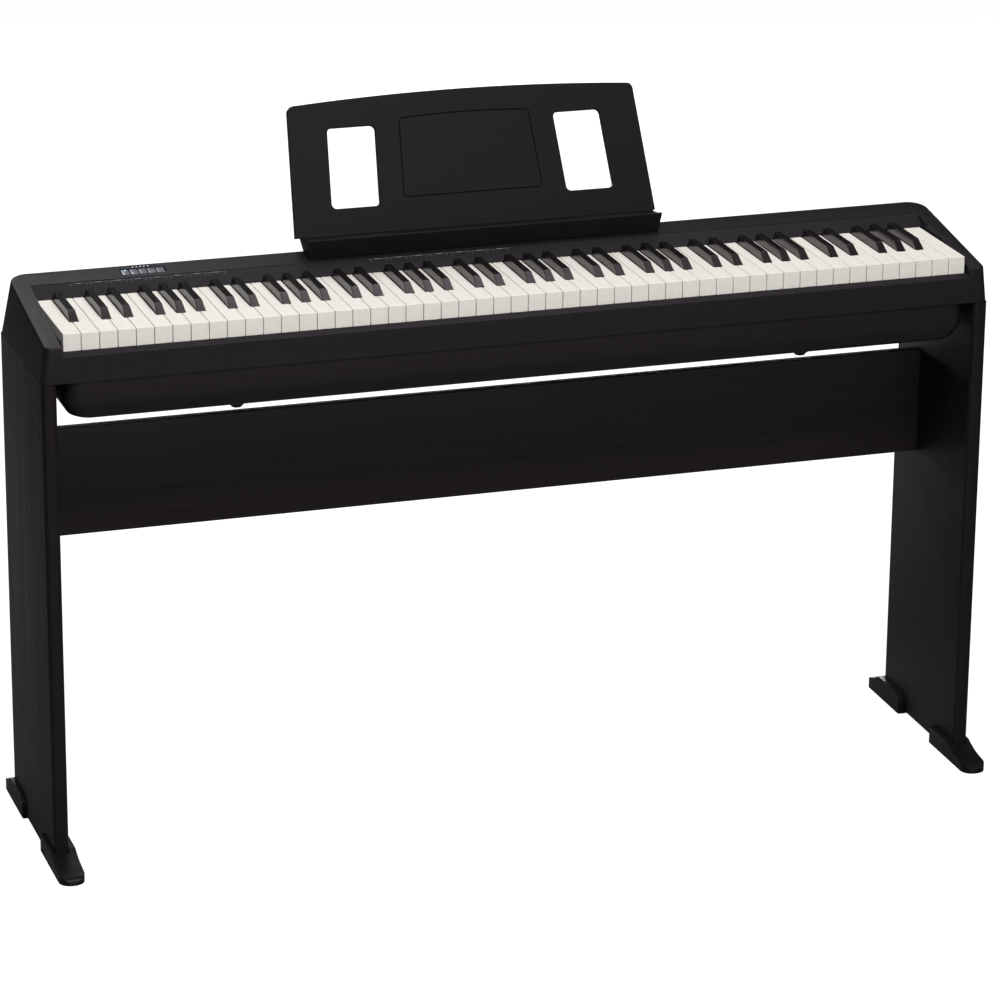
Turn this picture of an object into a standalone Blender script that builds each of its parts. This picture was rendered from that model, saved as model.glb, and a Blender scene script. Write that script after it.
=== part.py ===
"""Digital piano on its stand: 88 keys, plug-in music rest, five buttons, two side panels and a back board.

Metres, +Z up, +X to the player's right, +Y away from the player. The origin is on the floor, at the middle
of the whole piece. Distances called "back" are measured from the front faces of the white keys.
"""

import math

import bmesh
import bpy
from mathutils import Vector

GAP = 0.0003  # clearance between pieces that touch
WALL = 0.0025  # moulded plastic wall

# Keyboard
WHITE_COUNT = 52
WHITE_PITCH = 0.0235
KEY_SPACE = 0.0009  # between neighbouring white keys
KEY_TOP_Z = 0.7172
KEY_FRONT_HEIGHT = 0.0232
KEY_BODY_Z = 0.703  # underside of the keys between the front lip and the tail
WHITE_VISIBLE = 0.150
WHITE_HEAD = 0.0475  # wide part of a white key, in front of the black keys
KEY_TAIL = 0.214
WHITE_TAIL_Z = 0.710  # tops of the tails, under the top panel
BLACK_TAIL_Z = 0.714
BLACK_FRONT = 0.0485
BLACK_BACK = 0.1483
BLACK_RISE = 0.0108
BLACK_WIDTH = 0.0118
BLACK_NARROWING = 0.80  # width of the top over the width of the foot
BLACK_SLOPE = 0.0165  # length of the sloped front
BLACK_CUT = 0.0064  # half of the room that a white key leaves for a black one
BLACK_SHIFT = {"A": 0.0026, "C": -0.0026, "D": 0.0026, "F": -0.0029, "G": 0.0}
SINGLE_KEYS = range(16, 30)  # white keys C3 to B4 and their sharps stand alone; the others are in banks
PIVOT_BACK = 0.203
PIVOT_Z = 0.700
PIVOT_RADIUS = 0.002
PIVOT_NOTCH = 0.0024
KEY_LEG = 0.006  # how far the legs beside the notch reach below the rod's middle

# Upper and lower case
CASE_WIDTH = 1.284
CASE_TOP_WIDTH = 1.273
CASE_FRONT = -0.0108
CASE_BACK = 0.2475
SEAM_Z = 0.6556
TOP_FRONT_Z = 0.703
TOP_BACK = 0.2078
TOP_BACK_Z = 0.7376
WELL_HALF = 0.614
FASCIA_BACK = 0.1705  # fold between the top panel and the fascia that drops to the keys
FASCIA_FOOT_Z = 0.7184
STRIP_Z = 0.6949  # inner edge of the strip under the key fronts
STRIP_FRONT_Z = 0.690
STRIP_BACK = -0.0012
LOWER_HALF = 0.612
LOWER_FRONT = -0.0085
LOWER_BACK = 0.2445
LOWER_KNEE_Z = 0.629
LOWER_BASE_Z = 0.6045
CASE_FOOT_HEIGHT = 0.0068
BED_Z = 0.650
BED_SHEET = 0.002
BED_FRONT = 0.020
BED_FLANGE = (0.002, 0.6805)  # front edge and top of the flange that stops the keys
BED_HALF = 0.600
BOARD_Z = 0.628
BOARD_SHEET = 0.0016
SOCKETS = {  # middle x, half width and half height of each socket's face
    "dc_inlet": (0.045, 0.0050, 0.0050),
    "usb_socket": (0.085, 0.0060, 0.0055),
    "phones_socket": (0.125, 0.0045, 0.0045),
    "pedal_socket": (0.165, 0.0062, 0.0062),
}
SOCKET_HOLES = {"dc_inlet": 0.0030, "phones_socket": 0.0018, "pedal_socket": 0.0033}
SOCKET_Z = 0.640
SPEAKER_X = 0.430
SPEAKER_BACK = 0.115
SPEAKER_SLOTS = 5
SLOT_PITCH = 0.014
SLOT_BACK = 0.085  # of the first slot
SLOT_SIZE = (0.070, 0.005)
CASE_FOOT_X = 0.385
CASE_FOOT_BACKS = {"front": 0.0155, "rear": 0.215}

# Music rest
REST_LEAN = math.radians(25)
REST_BASE = (0.213, 0.754)  # back and z of the foot of its front face
REST_HALF = 0.2505
REST_TOP_HALF = 0.2405
REST_SIDE_LENGTH = 0.166
REST_CROWN_LENGTH = 0.1833
REST_THICK = 0.0045
LIP_BACK = 0.1705
LIP_Z = 0.7613
REST_LEDGE_HALF = 0.2447
REST_TAB_BACK = 0.1905
REST_TAB_X = 0.125
REST_TAB_WIDTH = 0.110
REST_TAB_THICK = 0.0034

# Buttons and indicator lights
BUTTON_COUNT = 5
BUTTON_PITCH = 0.0116
BUTTON_X = -0.4617
BUTTON_BACK = 0.1895
BUTTON_SIZE = (0.0104, 0.0154, 0.0045)
BUTTON_SINK = 0.0005
LIGHT_COUNT = 5
LIGHT_PITCH = 0.005
LIGHT_BACK = 0.2015

# Stand
PANEL_THICK = 0.020
PANEL_BACK = 0.2318
PANEL_BOTTOM_Z = 0.0044
BOARD_BACK = 0.1557
BOARD_THICK = 0.015
BOARD_BOTTOM_Z = 0.3947
BOARD_TOP_Z = 0.5413
SHOE_INNER = 0.613
SHOE_OUTER = 0.647
TOE_REACH = 0.070

REST_BACK = REST_BASE[0] + REST_CROWN_LENGTH * math.sin(REST_LEAN) + REST_THICK * math.cos(REST_LEAN)
KEY_FRONT_Y = (TOE_REACH - REST_BACK) / 2  # centres the piece between the toes and the top of the rest
KEYBOARD_HALF = WHITE_COUNT * WHITE_PITCH / 2
TOP_SLOPE = (TOP_BACK_Z - TOP_FRONT_Z) / (TOP_BACK - CASE_FRONT)
TOP_TILT = math.atan(TOP_SLOPE)
PANEL_OUTER = CASE_WIDTH / 2
PANEL_INNER = PANEL_OUTER - PANEL_THICK


def clear_scene():
    for thing in list(bpy.data.objects):
        bpy.data.objects.remove(thing, do_unlink=True)


def material(name, colour, roughness, metallic=0.0):
    """A Principled material, made once for each name."""
    if name in bpy.data.materials:
        return bpy.data.materials[name]
    made = bpy.data.materials.new(name)
    made.use_nodes = True
    shader = made.node_tree.nodes["Principled BSDF"]
    shader.inputs["Base Color"].default_value = (*colour, 1.0)
    shader.inputs["Roughness"].default_value = roughness
    shader.inputs["Metallic"].default_value = metallic
    return made


def case_plastic():
    return material("case_plastic", (0.018, 0.016, 0.018), 0.42)


def lower_plastic():
    return material("lower_plastic", (0.013, 0.012, 0.013), 0.5)


def white_key_plastic():
    return material("white_key_plastic", (0.80, 0.77, 0.71), 0.35)


def black_key_plastic():
    return material("black_key_plastic", (0.016, 0.014, 0.013), 0.5)


def button_plastic():
    return material("button_plastic", (0.35, 0.36, 0.40), 0.25)


def light_lens():
    return material("light_lens", (0.75, 0.78, 0.82), 0.2)


def laminate():
    return material("laminate", (0.012, 0.010, 0.011), 0.45)


def shoe_plastic():
    return material("shoe_plastic", (0.010, 0.009, 0.010), 0.45)


def rubber():
    return material("rubber", (0.010, 0.010, 0.010), 0.8)


def plated_steel():
    return material("plated_steel", (0.55, 0.55, 0.56), 0.35, 1.0)


def black_steel():
    return material("black_steel", (0.02, 0.02, 0.02), 0.4, 0.6)


def board_laminate():
    return material("board_laminate", (0.02, 0.13, 0.05), 0.4)


def back(distance):
    """The y value of a point this far behind the white keys' fronts."""
    return KEY_FRONT_Y + distance


def top_plane(distance):
    """Height of the top panel's plane this far back."""
    return TOP_FRONT_Z + TOP_SLOPE * (distance - CASE_FRONT)


def object_from(bm, name, mat, origin=(0, 0, 0), smooth=False):
    """Closes a bmesh into a named object, with its faces outwards and its origin where it is wanted."""
    bmesh.ops.recalc_face_normals(bm, faces=bm.faces)
    bmesh.ops.translate(bm, vec=-Vector(origin), verts=bm.verts)
    mesh = bpy.data.meshes.new(name)
    bm.to_mesh(mesh)
    bm.free()
    if mat:
        mesh.materials.append(mat)
    if smooth:
        mesh.shade_smooth()
        mesh.set_sharp_from_angle(angle=math.radians(35))
    made = bpy.data.objects.new(name, mesh)
    made.location = origin
    bpy.context.scene.collection.objects.link(made)
    return made


def as_cutter(thing):
    thing.hide_render = True
    thing.display_type = "WIRE"
    return thing


def boolean(thing, other, operation):
    """Cuts, joins or crosses a piece with a hidden shape."""
    step = thing.modifiers.new(other.name, "BOOLEAN")
    step.operation = operation
    step.solver = "EXACT"
    step.object = as_cutter(other)
    return thing


def soften(thing, width, angle=40):
    """A one-segment bevel on the sharp edges."""
    step = thing.modifiers.new("soften", "BEVEL")
    step.width = width
    step.segments = 1
    step.limit_method = "ANGLE"
    step.angle_limit = math.radians(angle)


def add_prism(bm, outline, start, end):
    """Adds the prism of an outline; two functions of its points say where it starts and ends."""
    first = [bm.verts.new(start(point)) for point in outline]
    second = [bm.verts.new(end(point)) for point in outline]
    bm.faces.new(first)
    bm.faces.new(second[::-1])
    for i in range(len(outline)):
        j = (i + 1) % len(outline)
        bm.faces.new((first[i], first[j], second[j], second[i]))
    return first + second


def side_prism(bm, outline, x0, x1):
    """Adds a side view (back, z) stretched from x0 to x1."""
    return add_prism(bm, outline, lambda p: (x0, back(p[0]), p[1]), lambda p: (x1, back(p[0]), p[1]))


def plan_prism(bm, outline, z0, z1):
    """Adds a plan (x, back) stretched from z0 to z1."""
    return add_prism(bm, outline, lambda p: (p[0], back(p[1]), z0), lambda p: (p[0], back(p[1]), z1))


def box(bm, low, high):
    """Adds a box between two corners given as x, back, z."""
    outline = [(low[0], low[1]), (high[0], low[1]), (high[0], high[1]), (low[0], high[1])]
    return plan_prism(bm, outline, low[2], high[2])


def corner(centre, radius, start, steps):
    """The points of a quarter circle, from a starting angle in degrees."""
    angles = [math.radians(start + 90 * k / steps) for k in range(steps + 1)]
    return [(centre[0] + radius * math.cos(a), centre[1] + radius * math.sin(a)) for a in angles]


def circle(centre, radius, sides=12):
    turns = [2 * math.pi * k / sides for k in range(sides)]
    return [(centre[0] + radius * math.cos(t), centre[1] + radius * math.sin(t)) for t in turns]


def rounded_plan(half, front, rear, front_radius, rear_radius, steps=4):
    """A rectangle in plan with rounded corners, from the front right corner round to the front left."""
    return (
        corner((half - front_radius, front + front_radius), front_radius, 270, steps)
        + corner((half - rear_radius, rear - rear_radius), rear_radius, 0, steps)
        + corner((-half + rear_radius, rear - rear_radius), rear_radius, 90, steps)
        + corner((-half + front_radius, front + front_radius), front_radius, 180, steps)
    )


def loft(bm, rings):
    """Joins rings of points into one closed skin, capped at both ends."""
    made = [[bm.verts.new((x, back(d), z)) for x, d, z in ring] for ring in rings]
    count = len(made[0])
    for low, high in zip(made, made[1:]):
        for i in range(count):
            j = (i + 1) % count
            bm.faces.new((low[i], low[j], high[j], high[i]))
    bm.faces.new(made[0][::-1])
    bm.faces.new(made[-1])


def level_ring(outline, z):
    return [(x, d, z) for x, d in outline]


def sloped_ring(outline, drop):
    return [(x, d, top_plane(d) - drop) for x, d in outline]


def cylinder_between(bm, centre, radius, z0, z1, sides=12, end_radius=None):
    """Adds an upright cylinder or cone whose centre is given as x, back."""
    turns = [2 * math.pi * k / sides for k in range(sides)]
    ratio = (end_radius or radius) / radius

    def place(angle, z, reach):
        return (centre[0] + reach * math.cos(angle), back(centre[1]) + reach * math.sin(angle), z)

    return add_prism(bm, turns, lambda a: place(a, z0, radius), lambda a: place(a, z1, radius * ratio))


# Case


def well_outline():
    """Side view of the room inside the upper case: open above the keys, closed behind them."""
    front = CASE_FRONT + WALL
    strip_slope = (STRIP_Z - STRIP_FRONT_Z) / (STRIP_BACK - CASE_FRONT)
    fascia_slope = (top_plane(FASCIA_BACK) - FASCIA_FOOT_Z) / (FASCIA_BACK - WHITE_VISIBLE)
    clear_z = TOP_BACK_Z + 0.03
    clear_back = WHITE_VISIBLE + (clear_z - FASCIA_FOOT_Z) / fascia_slope
    lip = 0.0046  # flat underside of the fascia's foot
    under_z = top_plane(0) - WALL
    foot_back = WHITE_VISIBLE + lip
    fold_back = (under_z - FASCIA_FOOT_Z + fascia_slope * foot_back) / (fascia_slope - TOP_SLOPE)
    rear_slope = (CASE_BACK - TOP_BACK) / (TOP_BACK_Z - SEAM_Z)
    rear_wall = 0.0033
    rear_back = TOP_BACK - rear_wall + rear_slope * WALL
    outside = CASE_FRONT - 0.01
    return [
        (front, SEAM_Z - 0.01),
        (front, STRIP_FRONT_Z + strip_slope * WALL - WALL),
        (STRIP_BACK, STRIP_Z - WALL),
        (STRIP_BACK, STRIP_Z),
        (outside, STRIP_Z - strip_slope * (STRIP_BACK - outside)),
        (outside, clear_z),
        (clear_back, clear_z),
        (WHITE_VISIBLE, FASCIA_FOOT_Z),
        (foot_back, FASCIA_FOOT_Z),
        (fold_back, under_z + TOP_SLOPE * fold_back),
        (rear_back, top_plane(rear_back) - WALL),
        (CASE_BACK - rear_wall, SEAM_Z),
        (CASE_BACK - rear_wall, SEAM_Z - 0.01),
    ]


def panel_cutter(name, x, distance, size):
    """A box square to the top panel, as a hidden cutter."""
    bm = bmesh.new()
    bmesh.ops.create_cube(bm, size=1.0)
    bmesh.ops.scale(bm, vec=size, verts=bm.verts)
    cutter = object_from(bm, name, None)
    cutter.location = (x, back(distance), top_plane(distance))
    cutter.rotation_euler.x = TOP_TILT
    return cutter


def rest_direction():
    return Vector((0, math.sin(REST_LEAN), math.cos(REST_LEAN)))


def rest_slot(side):
    """The slot in the top panel that takes one tab of the music rest."""
    bm = bmesh.new()
    bmesh.ops.create_cube(bm, size=1.0)
    room = 0.0004
    bmesh.ops.scale(bm, vec=(REST_TAB_WIDTH + 2 * room, REST_TAB_THICK + 2 * room, 0.03), verts=bm.verts)
    cutter = object_from(bm, f"rest_slot_{side}", None)
    cutter.location = (side * REST_TAB_X, back(REST_TAB_BACK), top_plane(REST_TAB_BACK))
    cutter.rotation_euler.x = -REST_LEAN
    return cutter


def upper_case():
    """Top panel, end blocks, front strip and rear wall in one moulding."""
    bm = bmesh.new()
    half = CASE_WIDTH / 2
    top_half = CASE_TOP_WIDTH / 2
    seam = rounded_plan(half, CASE_FRONT, CASE_BACK, 0.010, 0.025)
    shoulder = rounded_plan(top_half, CASE_FRONT + 0.0004, TOP_BACK + 0.001, 0.009, 0.024)
    top = rounded_plan(top_half - 0.002, CASE_FRONT + 0.0022, TOP_BACK - 0.001, 0.008, 0.023)
    loft(bm, [level_ring(seam, SEAM_Z), sloped_ring(shoulder, 0.0022), sloped_ring(top, 0)])
    case = object_from(bm, "upper_case", case_plastic())

    bm = bmesh.new()
    side_prism(bm, well_outline(), -WELL_HALF, WELL_HALF)
    boolean(case, object_from(bm, "key_well", None), "DIFFERENCE")

    for side in (-1, 1):
        boolean(case, rest_slot(side), "DIFFERENCE")
    room = 0.0006
    opening = (BUTTON_COUNT * BUTTON_PITCH + 2 * room, BUTTON_SIZE[1] + 2 * room, 0.02)
    boolean(case, panel_cutter("button_opening", BUTTON_X, BUTTON_BACK, opening), "DIFFERENCE")
    lights = (LIGHT_COUNT * LIGHT_PITCH + 2 * GAP, 0.0024 + 2 * GAP, 0.02)
    boolean(case, panel_cutter("light_opening", light_x(), LIGHT_BACK, lights), "DIFFERENCE")
    return case


def light_x():
    """Middle of the row of lights, a little to the left of the buttons' middle."""
    return BUTTON_X - 0.001


def lower_rings(inset, rim_z):
    """The lower case's skin from the rim down to its rounded base, or the same skin set in by a wall."""
    half = LOWER_HALF - inset
    front = LOWER_FRONT + inset
    rear = LOWER_BACK - inset
    radius = 0.022 - inset
    rim = rounded_plan(half, front, rear, radius, radius)
    shoulder = rounded_plan(half - 0.005, front + 0.004, rear - 0.002, radius, radius)
    base = rounded_plan(half - 0.016, front + 0.0095, rear - 0.006, radius, radius)
    shoulder_z = LOWER_BASE_Z + 0.010 + inset
    return [
        level_ring(rim, rim_z),
        level_ring(rim, LOWER_KNEE_Z),
        level_ring(shoulder, shoulder_z),
        level_ring(base, LOWER_BASE_Z + inset),
    ]


def bed_bosses():
    return [(x, d) for x in (-0.56, 0.0, 0.56) for d in (0.045, 0.200)]


def board_bosses():
    return [(x, d) for x in (0.030, 0.195) for d in (0.165, 0.215)]


def lower_case():
    """Shallow tray with bosses for the key bed and the board, speaker slots and socket holes."""
    bm = bmesh.new()
    loft(bm, lower_rings(0, SEAM_Z - GAP))
    case = object_from(bm, "lower_case", lower_plastic())
    bm = bmesh.new()
    loft(bm, lower_rings(WALL, SEAM_Z + 0.01))
    boolean(case, object_from(bm, "tray_hollow", None), "DIFFERENCE")

    floor = LOWER_BASE_Z + WALL / 2
    bm = bmesh.new()
    for x, d in bed_bosses():
        cylinder_between(bm, (x, d), 0.006, floor, BED_Z - GAP, sides=8)
    for x, d in board_bosses():
        cylinder_between(bm, (x, d), 0.004, floor, BOARD_Z - GAP, sides=8)
    boolean(case, object_from(bm, "bosses", None), "UNION")

    bm = bmesh.new()
    for side in (-1, 1):
        for k in range(SPEAKER_SLOTS):
            front = SLOT_BACK + SLOT_PITCH * k
            left = side * SPEAKER_X - SLOT_SIZE[0] / 2
            low = (left, front, LOWER_BASE_Z - 0.01)
            high = (left + SLOT_SIZE[0], front + SLOT_SIZE[1], floor + WALL)
            box(bm, low, high)
    for x, half_width, half_height in SOCKETS.values():
        low = (x - half_width - GAP, LOWER_BACK - 0.01, SOCKET_Z - half_height - GAP)
        high = (x + half_width + GAP, LOWER_BACK + 0.01, SOCKET_Z + half_height + GAP)
        box(bm, low, high)
    boolean(case, object_from(bm, "case_openings", None), "DIFFERENCE")
    return case


def key_bed():
    """Bent steel channel under the keys: its front flange stops them, its rear wall carries the pivot rod."""
    sheet = BED_SHEET
    flange_front, flange_z = BED_FLANGE
    outline = [
        (BED_FRONT, BED_Z),
        (PIVOT_BACK + sheet / 2, BED_Z),
        (PIVOT_BACK + sheet / 2, PIVOT_Z - PIVOT_RADIUS - GAP),
        (PIVOT_BACK - sheet / 2, PIVOT_Z - PIVOT_RADIUS - GAP),
        (PIVOT_BACK - sheet / 2, BED_Z + sheet),
        (BED_FRONT + sheet, BED_Z + sheet),
        (BED_FRONT + sheet, flange_z),
        (flange_front, flange_z),
        (flange_front, flange_z - sheet),
        (BED_FRONT, flange_z - sheet),
    ]
    bm = bmesh.new()
    side_prism(bm, outline, -BED_HALF, BED_HALF)
    return object_from(bm, "key_bed", plated_steel())


def pivot_rod():
    """The steel rod that every key turns on."""
    bm = bmesh.new()
    side_prism(bm, circle((PIVOT_BACK, PIVOT_Z), PIVOT_RADIUS), -KEYBOARD_HALF, KEYBOARD_HALF)
    return object_from(bm, "pivot_rod", plated_steel(), smooth=True)


def main_board():
    bm = bmesh.new()
    box(bm, (0.020, 0.155, BOARD_Z), (0.205, 0.225, BOARD_Z + BOARD_SHEET))
    return object_from(bm, "main_board", board_laminate())


def socket(name):
    """A moulded socket: a body on the board behind the wall, a face flush with the wall, and its hole."""
    x, half_width, half_height = SOCKETS[name]
    face = LOWER_BACK
    bm = bmesh.new()
    low = (x - half_width - 0.001, 0.212, BOARD_Z + BOARD_SHEET + GAP)
    high = (x + half_width + 0.001, face - WALL - GAP, SOCKET_Z + 0.008)
    box(bm, low, high)
    body = object_from(bm, name, black_key_plastic())
    bm = bmesh.new()
    box(bm, (x - half_width, 0.225, SOCKET_Z - half_height), (x + half_width, face, SOCKET_Z + half_height))
    boolean(body, object_from(bm, name + "_face", None), "UNION")
    bm = bmesh.new()
    depth = 0.016
    if name == "usb_socket":
        right = [(0.0042, -0.0038), (0.0042, 0.002), (0.0025, 0.0038)]
        outline = right + [(-a, b) for a, b in right[::-1]]
    else:
        outline = circle((0, 0), SOCKET_HOLES[name])
    add_prism(
        bm,
        outline,
        lambda p: (x + p[0], back(face - depth), SOCKET_Z + p[1]),
        lambda p: (x + p[0], back(face + 0.01), SOCKET_Z + p[1]),
    )
    boolean(body, object_from(bm, name + "_hole", None), "DIFFERENCE")
    return body


def speaker(side, name):
    """A loudspeaker facing down: basket and magnet outside, open cone inside."""
    floor = LOWER_BASE_Z + WALL + GAP
    profile = [(0.049, 0), (0.050, 0.003), (0.044, 0.004), (0.024, 0.018), (0.022, 0.032), (0, 0.032)]
    cone = [(0, 0.010), (0.016, 0.012), (0.045, 0)]
    sides = 20
    bm = bmesh.new()
    middle = (side * SPEAKER_X, back(SPEAKER_BACK))
    points = [Vector((middle[0] + r, middle[1], floor + z)) for r, z in profile[::-1] + cone[::-1]]
    verts = [bm.verts.new(p) for p in points]
    edges = [bm.edges.new(pair) for pair in zip(verts, verts[1:])]
    axis = Vector((0, 0, 1))
    centre = Vector((middle[0], middle[1], 0))
    turn = 2 * math.pi
    bmesh.ops.spin(bm, geom=verts + edges, cent=centre, axis=axis, angle=turn, steps=sides, use_merge=True)
    bmesh.ops.remove_doubles(bm, verts=bm.verts, dist=0.00001)
    return object_from(bm, name, black_steel(), smooth=True)


def case_foot(x, distance, name):
    bm = bmesh.new()
    top = LOWER_BASE_Z - GAP
    cylinder_between(bm, (x, distance), 0.0065, top - CASE_FOOT_HEIGHT, top, sides=16, end_radius=0.012)
    return object_from(bm, name, rubber(), smooth=True)


# Keys


def white_letter(index):
    return "ABCDEFG"[index % 7]


def key_name(index):
    """Note name of a white key, such as C4."""
    return f"{white_letter(index)}{(index + 5) // 7}"


def white_left(index):
    return -KEYBOARD_HALF + index * WHITE_PITCH


def has_sharp(index):
    return 0 <= index < WHITE_COUNT - 1 and white_letter(index) in BLACK_SHIFT


def black_x(index):
    """Middle of the black key to the right of a white key."""
    return white_left(index + 1) + BLACK_SHIFT[white_letter(index)]


def notch_points():
    """The open notch under a key's tail that sits over the pivot rod, from its rear leg to its front leg."""
    steps = 6
    arc = [math.pi * k / steps for k in range(steps + 1)]
    return [(PIVOT_BACK + PIVOT_NOTCH * math.cos(a), PIVOT_Z + PIVOT_NOTCH * math.sin(a)) for a in arc]


def white_side():
    """Side view of a white key: front lip, thin body, lowered tail with its notch."""
    foot = KEY_TOP_Z - KEY_FRONT_HEIGHT
    leg = PIVOT_Z - KEY_LEG
    notch = notch_points()
    return (
        [(0, foot), (0, KEY_TOP_Z - 0.0006), (0.0006, KEY_TOP_Z), (PIVOT_BACK - 0.017, KEY_TOP_Z)]
        + [(PIVOT_BACK - 0.015, WHITE_TAIL_Z), (KEY_TAIL, WHITE_TAIL_Z), (KEY_TAIL, leg), (notch[0][0], leg)]
        + notch
        + [(notch[-1][0], leg), (PIVOT_BACK - 0.012, leg), (PIVOT_BACK - 0.021, KEY_BODY_Z)]
        + [(0.010, KEY_BODY_Z), (0.008, foot)]
    )


def white_plan(index):
    """Plan of a white key, cut back beside its black neighbours."""
    left = white_left(index) + KEY_SPACE / 2
    right = white_left(index + 1) - KEY_SPACE / 2
    tail_left = black_x(index - 1) + BLACK_CUT if has_sharp(index - 1) else left
    tail_right = black_x(index) - BLACK_CUT if has_sharp(index) else right
    end = KEY_TAIL + 0.001
    points = [(left, -0.001), (right, -0.001)]
    if tail_right < right:
        points += [(right, WHITE_HEAD), (tail_right, WHITE_HEAD)]
    points += [(tail_right, end), (tail_left, end)]
    if tail_left > left:
        points += [(tail_left, WHITE_HEAD), (left, WHITE_HEAD)]
    return points


def add_black_key(bm, index):
    """Side view of a black key with its sloped front, narrower at the top."""
    top = KEY_TOP_Z + BLACK_RISE
    brow = BLACK_FRONT + BLACK_SLOPE
    heel = PIVOT_BACK + 0.0045
    leg = PIVOT_Z - KEY_LEG
    notch = notch_points()
    outline = (
        [(BLACK_FRONT, KEY_BODY_Z), (BLACK_FRONT, KEY_TOP_Z + 0.0004), (brow - 0.0006, top - 0.0007)]
        + [(brow + 0.0012, top), (BLACK_BACK, top), (BLACK_BACK, BLACK_TAIL_Z), (KEY_TAIL, BLACK_TAIL_Z)]
        + [(KEY_TAIL, KEY_BODY_Z), (heel, KEY_BODY_Z), (heel, leg), (notch[0][0], leg)]
        + notch
        + [(notch[-1][0], leg), (PIVOT_BACK - 0.009, leg), (PIVOT_BACK - 0.015, KEY_BODY_Z)]
    )
    middle = black_x(index)
    made = side_prism(bm, outline, middle - BLACK_WIDTH / 2, middle + BLACK_WIDTH / 2)
    for vert in made:
        height = max(0, (vert.co.z - KEY_TOP_Z) / BLACK_RISE)
        vert.co.x = middle + (1 - (1 - BLACK_NARROWING) * height) * (vert.co.x - middle)


def bank_bar(name, indices, low, high):
    """The bar that joins the tails of a bank of keys."""
    first = white_left(indices[0])
    last = white_left(indices[-1] + 1)
    inset = 0.002
    bm = bmesh.new()
    box(bm, (first + inset, low[0], low[1]), (last - inset, high[0], high[1]))
    return object_from(bm, name + "_bar", None)


def white_keys(name, indices):
    """One white key, or a bank of them joined at their tails, turning on the pivot rod."""
    bm = bmesh.new()
    for index in indices:
        plan_prism(bm, white_plan(index), 0.68, 0.73)
    middle = (white_left(indices[0]) + white_left(indices[-1] + 1)) / 2
    origin = (middle, back(PIVOT_BACK), PIVOT_Z)
    keys = object_from(bm, name, white_key_plastic(), origin)
    bm = bmesh.new()
    side_prism(bm, white_side(), white_left(indices[0]) - 0.01, white_left(indices[-1] + 1) + 0.01)
    boolean(keys, object_from(bm, name + "_side", None, origin), "INTERSECT")
    if len(indices) > 1:
        low, high = (KEY_TAIL - 0.0055, PIVOT_Z - KEY_LEG), (KEY_TAIL, PIVOT_Z + 0.0005)
        boolean(keys, bank_bar(name, indices, low, high), "UNION")
    return keys


def black_keys(name, indices):
    """One black key, or a bank of them joined above their tails, turning on the pivot rod."""
    middle = (black_x(indices[0]) + black_x(indices[-1])) / 2
    origin = (middle, back(PIVOT_BACK), PIVOT_Z)
    bm = bmesh.new()
    for index in indices:
        add_black_key(bm, index)
    keys = object_from(bm, name, black_key_plastic(), origin)
    if len(indices) > 1:
        low, high = (PIVOT_BACK - 0.012, BLACK_TAIL_Z - 0.0015), (PIVOT_BACK - 0.006, BLACK_TAIL_Z + 0.0045)
        boolean(keys, bank_bar(name, indices, low, high), "UNION")
    return keys


def keyboard():
    low = range(0, SINGLE_KEYS.start)
    high = range(SINGLE_KEYS.stop, WHITE_COUNT)
    white_keys("white_keys_low", low)
    white_keys("white_keys_high", high)
    black_keys("black_keys_low", [i for i in low if has_sharp(i)])
    black_keys("black_keys_high", [i for i in high if has_sharp(i)])
    for index in SINGLE_KEYS:
        white_keys(f"white_key_{key_name(index)}", [index])
        if has_sharp(index):
            black_keys(f"black_key_{key_name(index)}_sharp", [index])


# Music rest


def rest_outline():
    """Front view of the rest's panel, as x and length up its face: round corners, crowned top."""
    crown_steps = 6
    corner_radius = 0.007
    right = [(REST_HALF, 0), (REST_TOP_HALF, REST_SIDE_LENGTH)]
    top_half = REST_TOP_HALF - corner_radius
    rise = REST_CROWN_LENGTH - REST_SIDE_LENGTH - corner_radius
    crown = []
    for k in range(crown_steps + 1):
        x = top_half * (1 - 2 * k / crown_steps)
        crown.append((x, REST_SIDE_LENGTH + corner_radius + rise * (1 - (x / top_half) ** 2)))
    return right + crown + [(-x, length) for x, length in right[::-1]]


def rest_point(x, length, depth):
    """A point on the rest: x, length up the front face, and depth behind it."""
    d = REST_BASE[0] + length * math.sin(REST_LEAN) + depth * math.cos(REST_LEAN)
    z = REST_BASE[1] + length * math.cos(REST_LEAN) - depth * math.sin(REST_LEAN)
    return (x, back(d), z)


def rest_window(side):
    """Cutter for one window of the rest: upright sides that spread a little downwards, round corners."""
    inner, outer, low, high = 0.1235, 0.190, 0.0345, 0.1425
    radius = 0.007
    spread = 0.0065
    outline = (
        corner((outer + spread - radius, low + radius), radius, 270, 3)
        + corner((outer - radius, high - radius), radius, 0, 3)
        + corner((inner + radius, high - radius), radius, 90, 3)
        + corner((inner + spread + radius, low + radius), radius, 180, 3)
    )
    bm = bmesh.new()
    reach = 0.01

    def place(point, depth):
        return rest_point(side * point[0], point[1], depth)

    add_prism(bm, outline, lambda p: place(p, -reach), lambda p: place(p, reach))
    return object_from(bm, f"rest_window_{side}", None)


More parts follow.
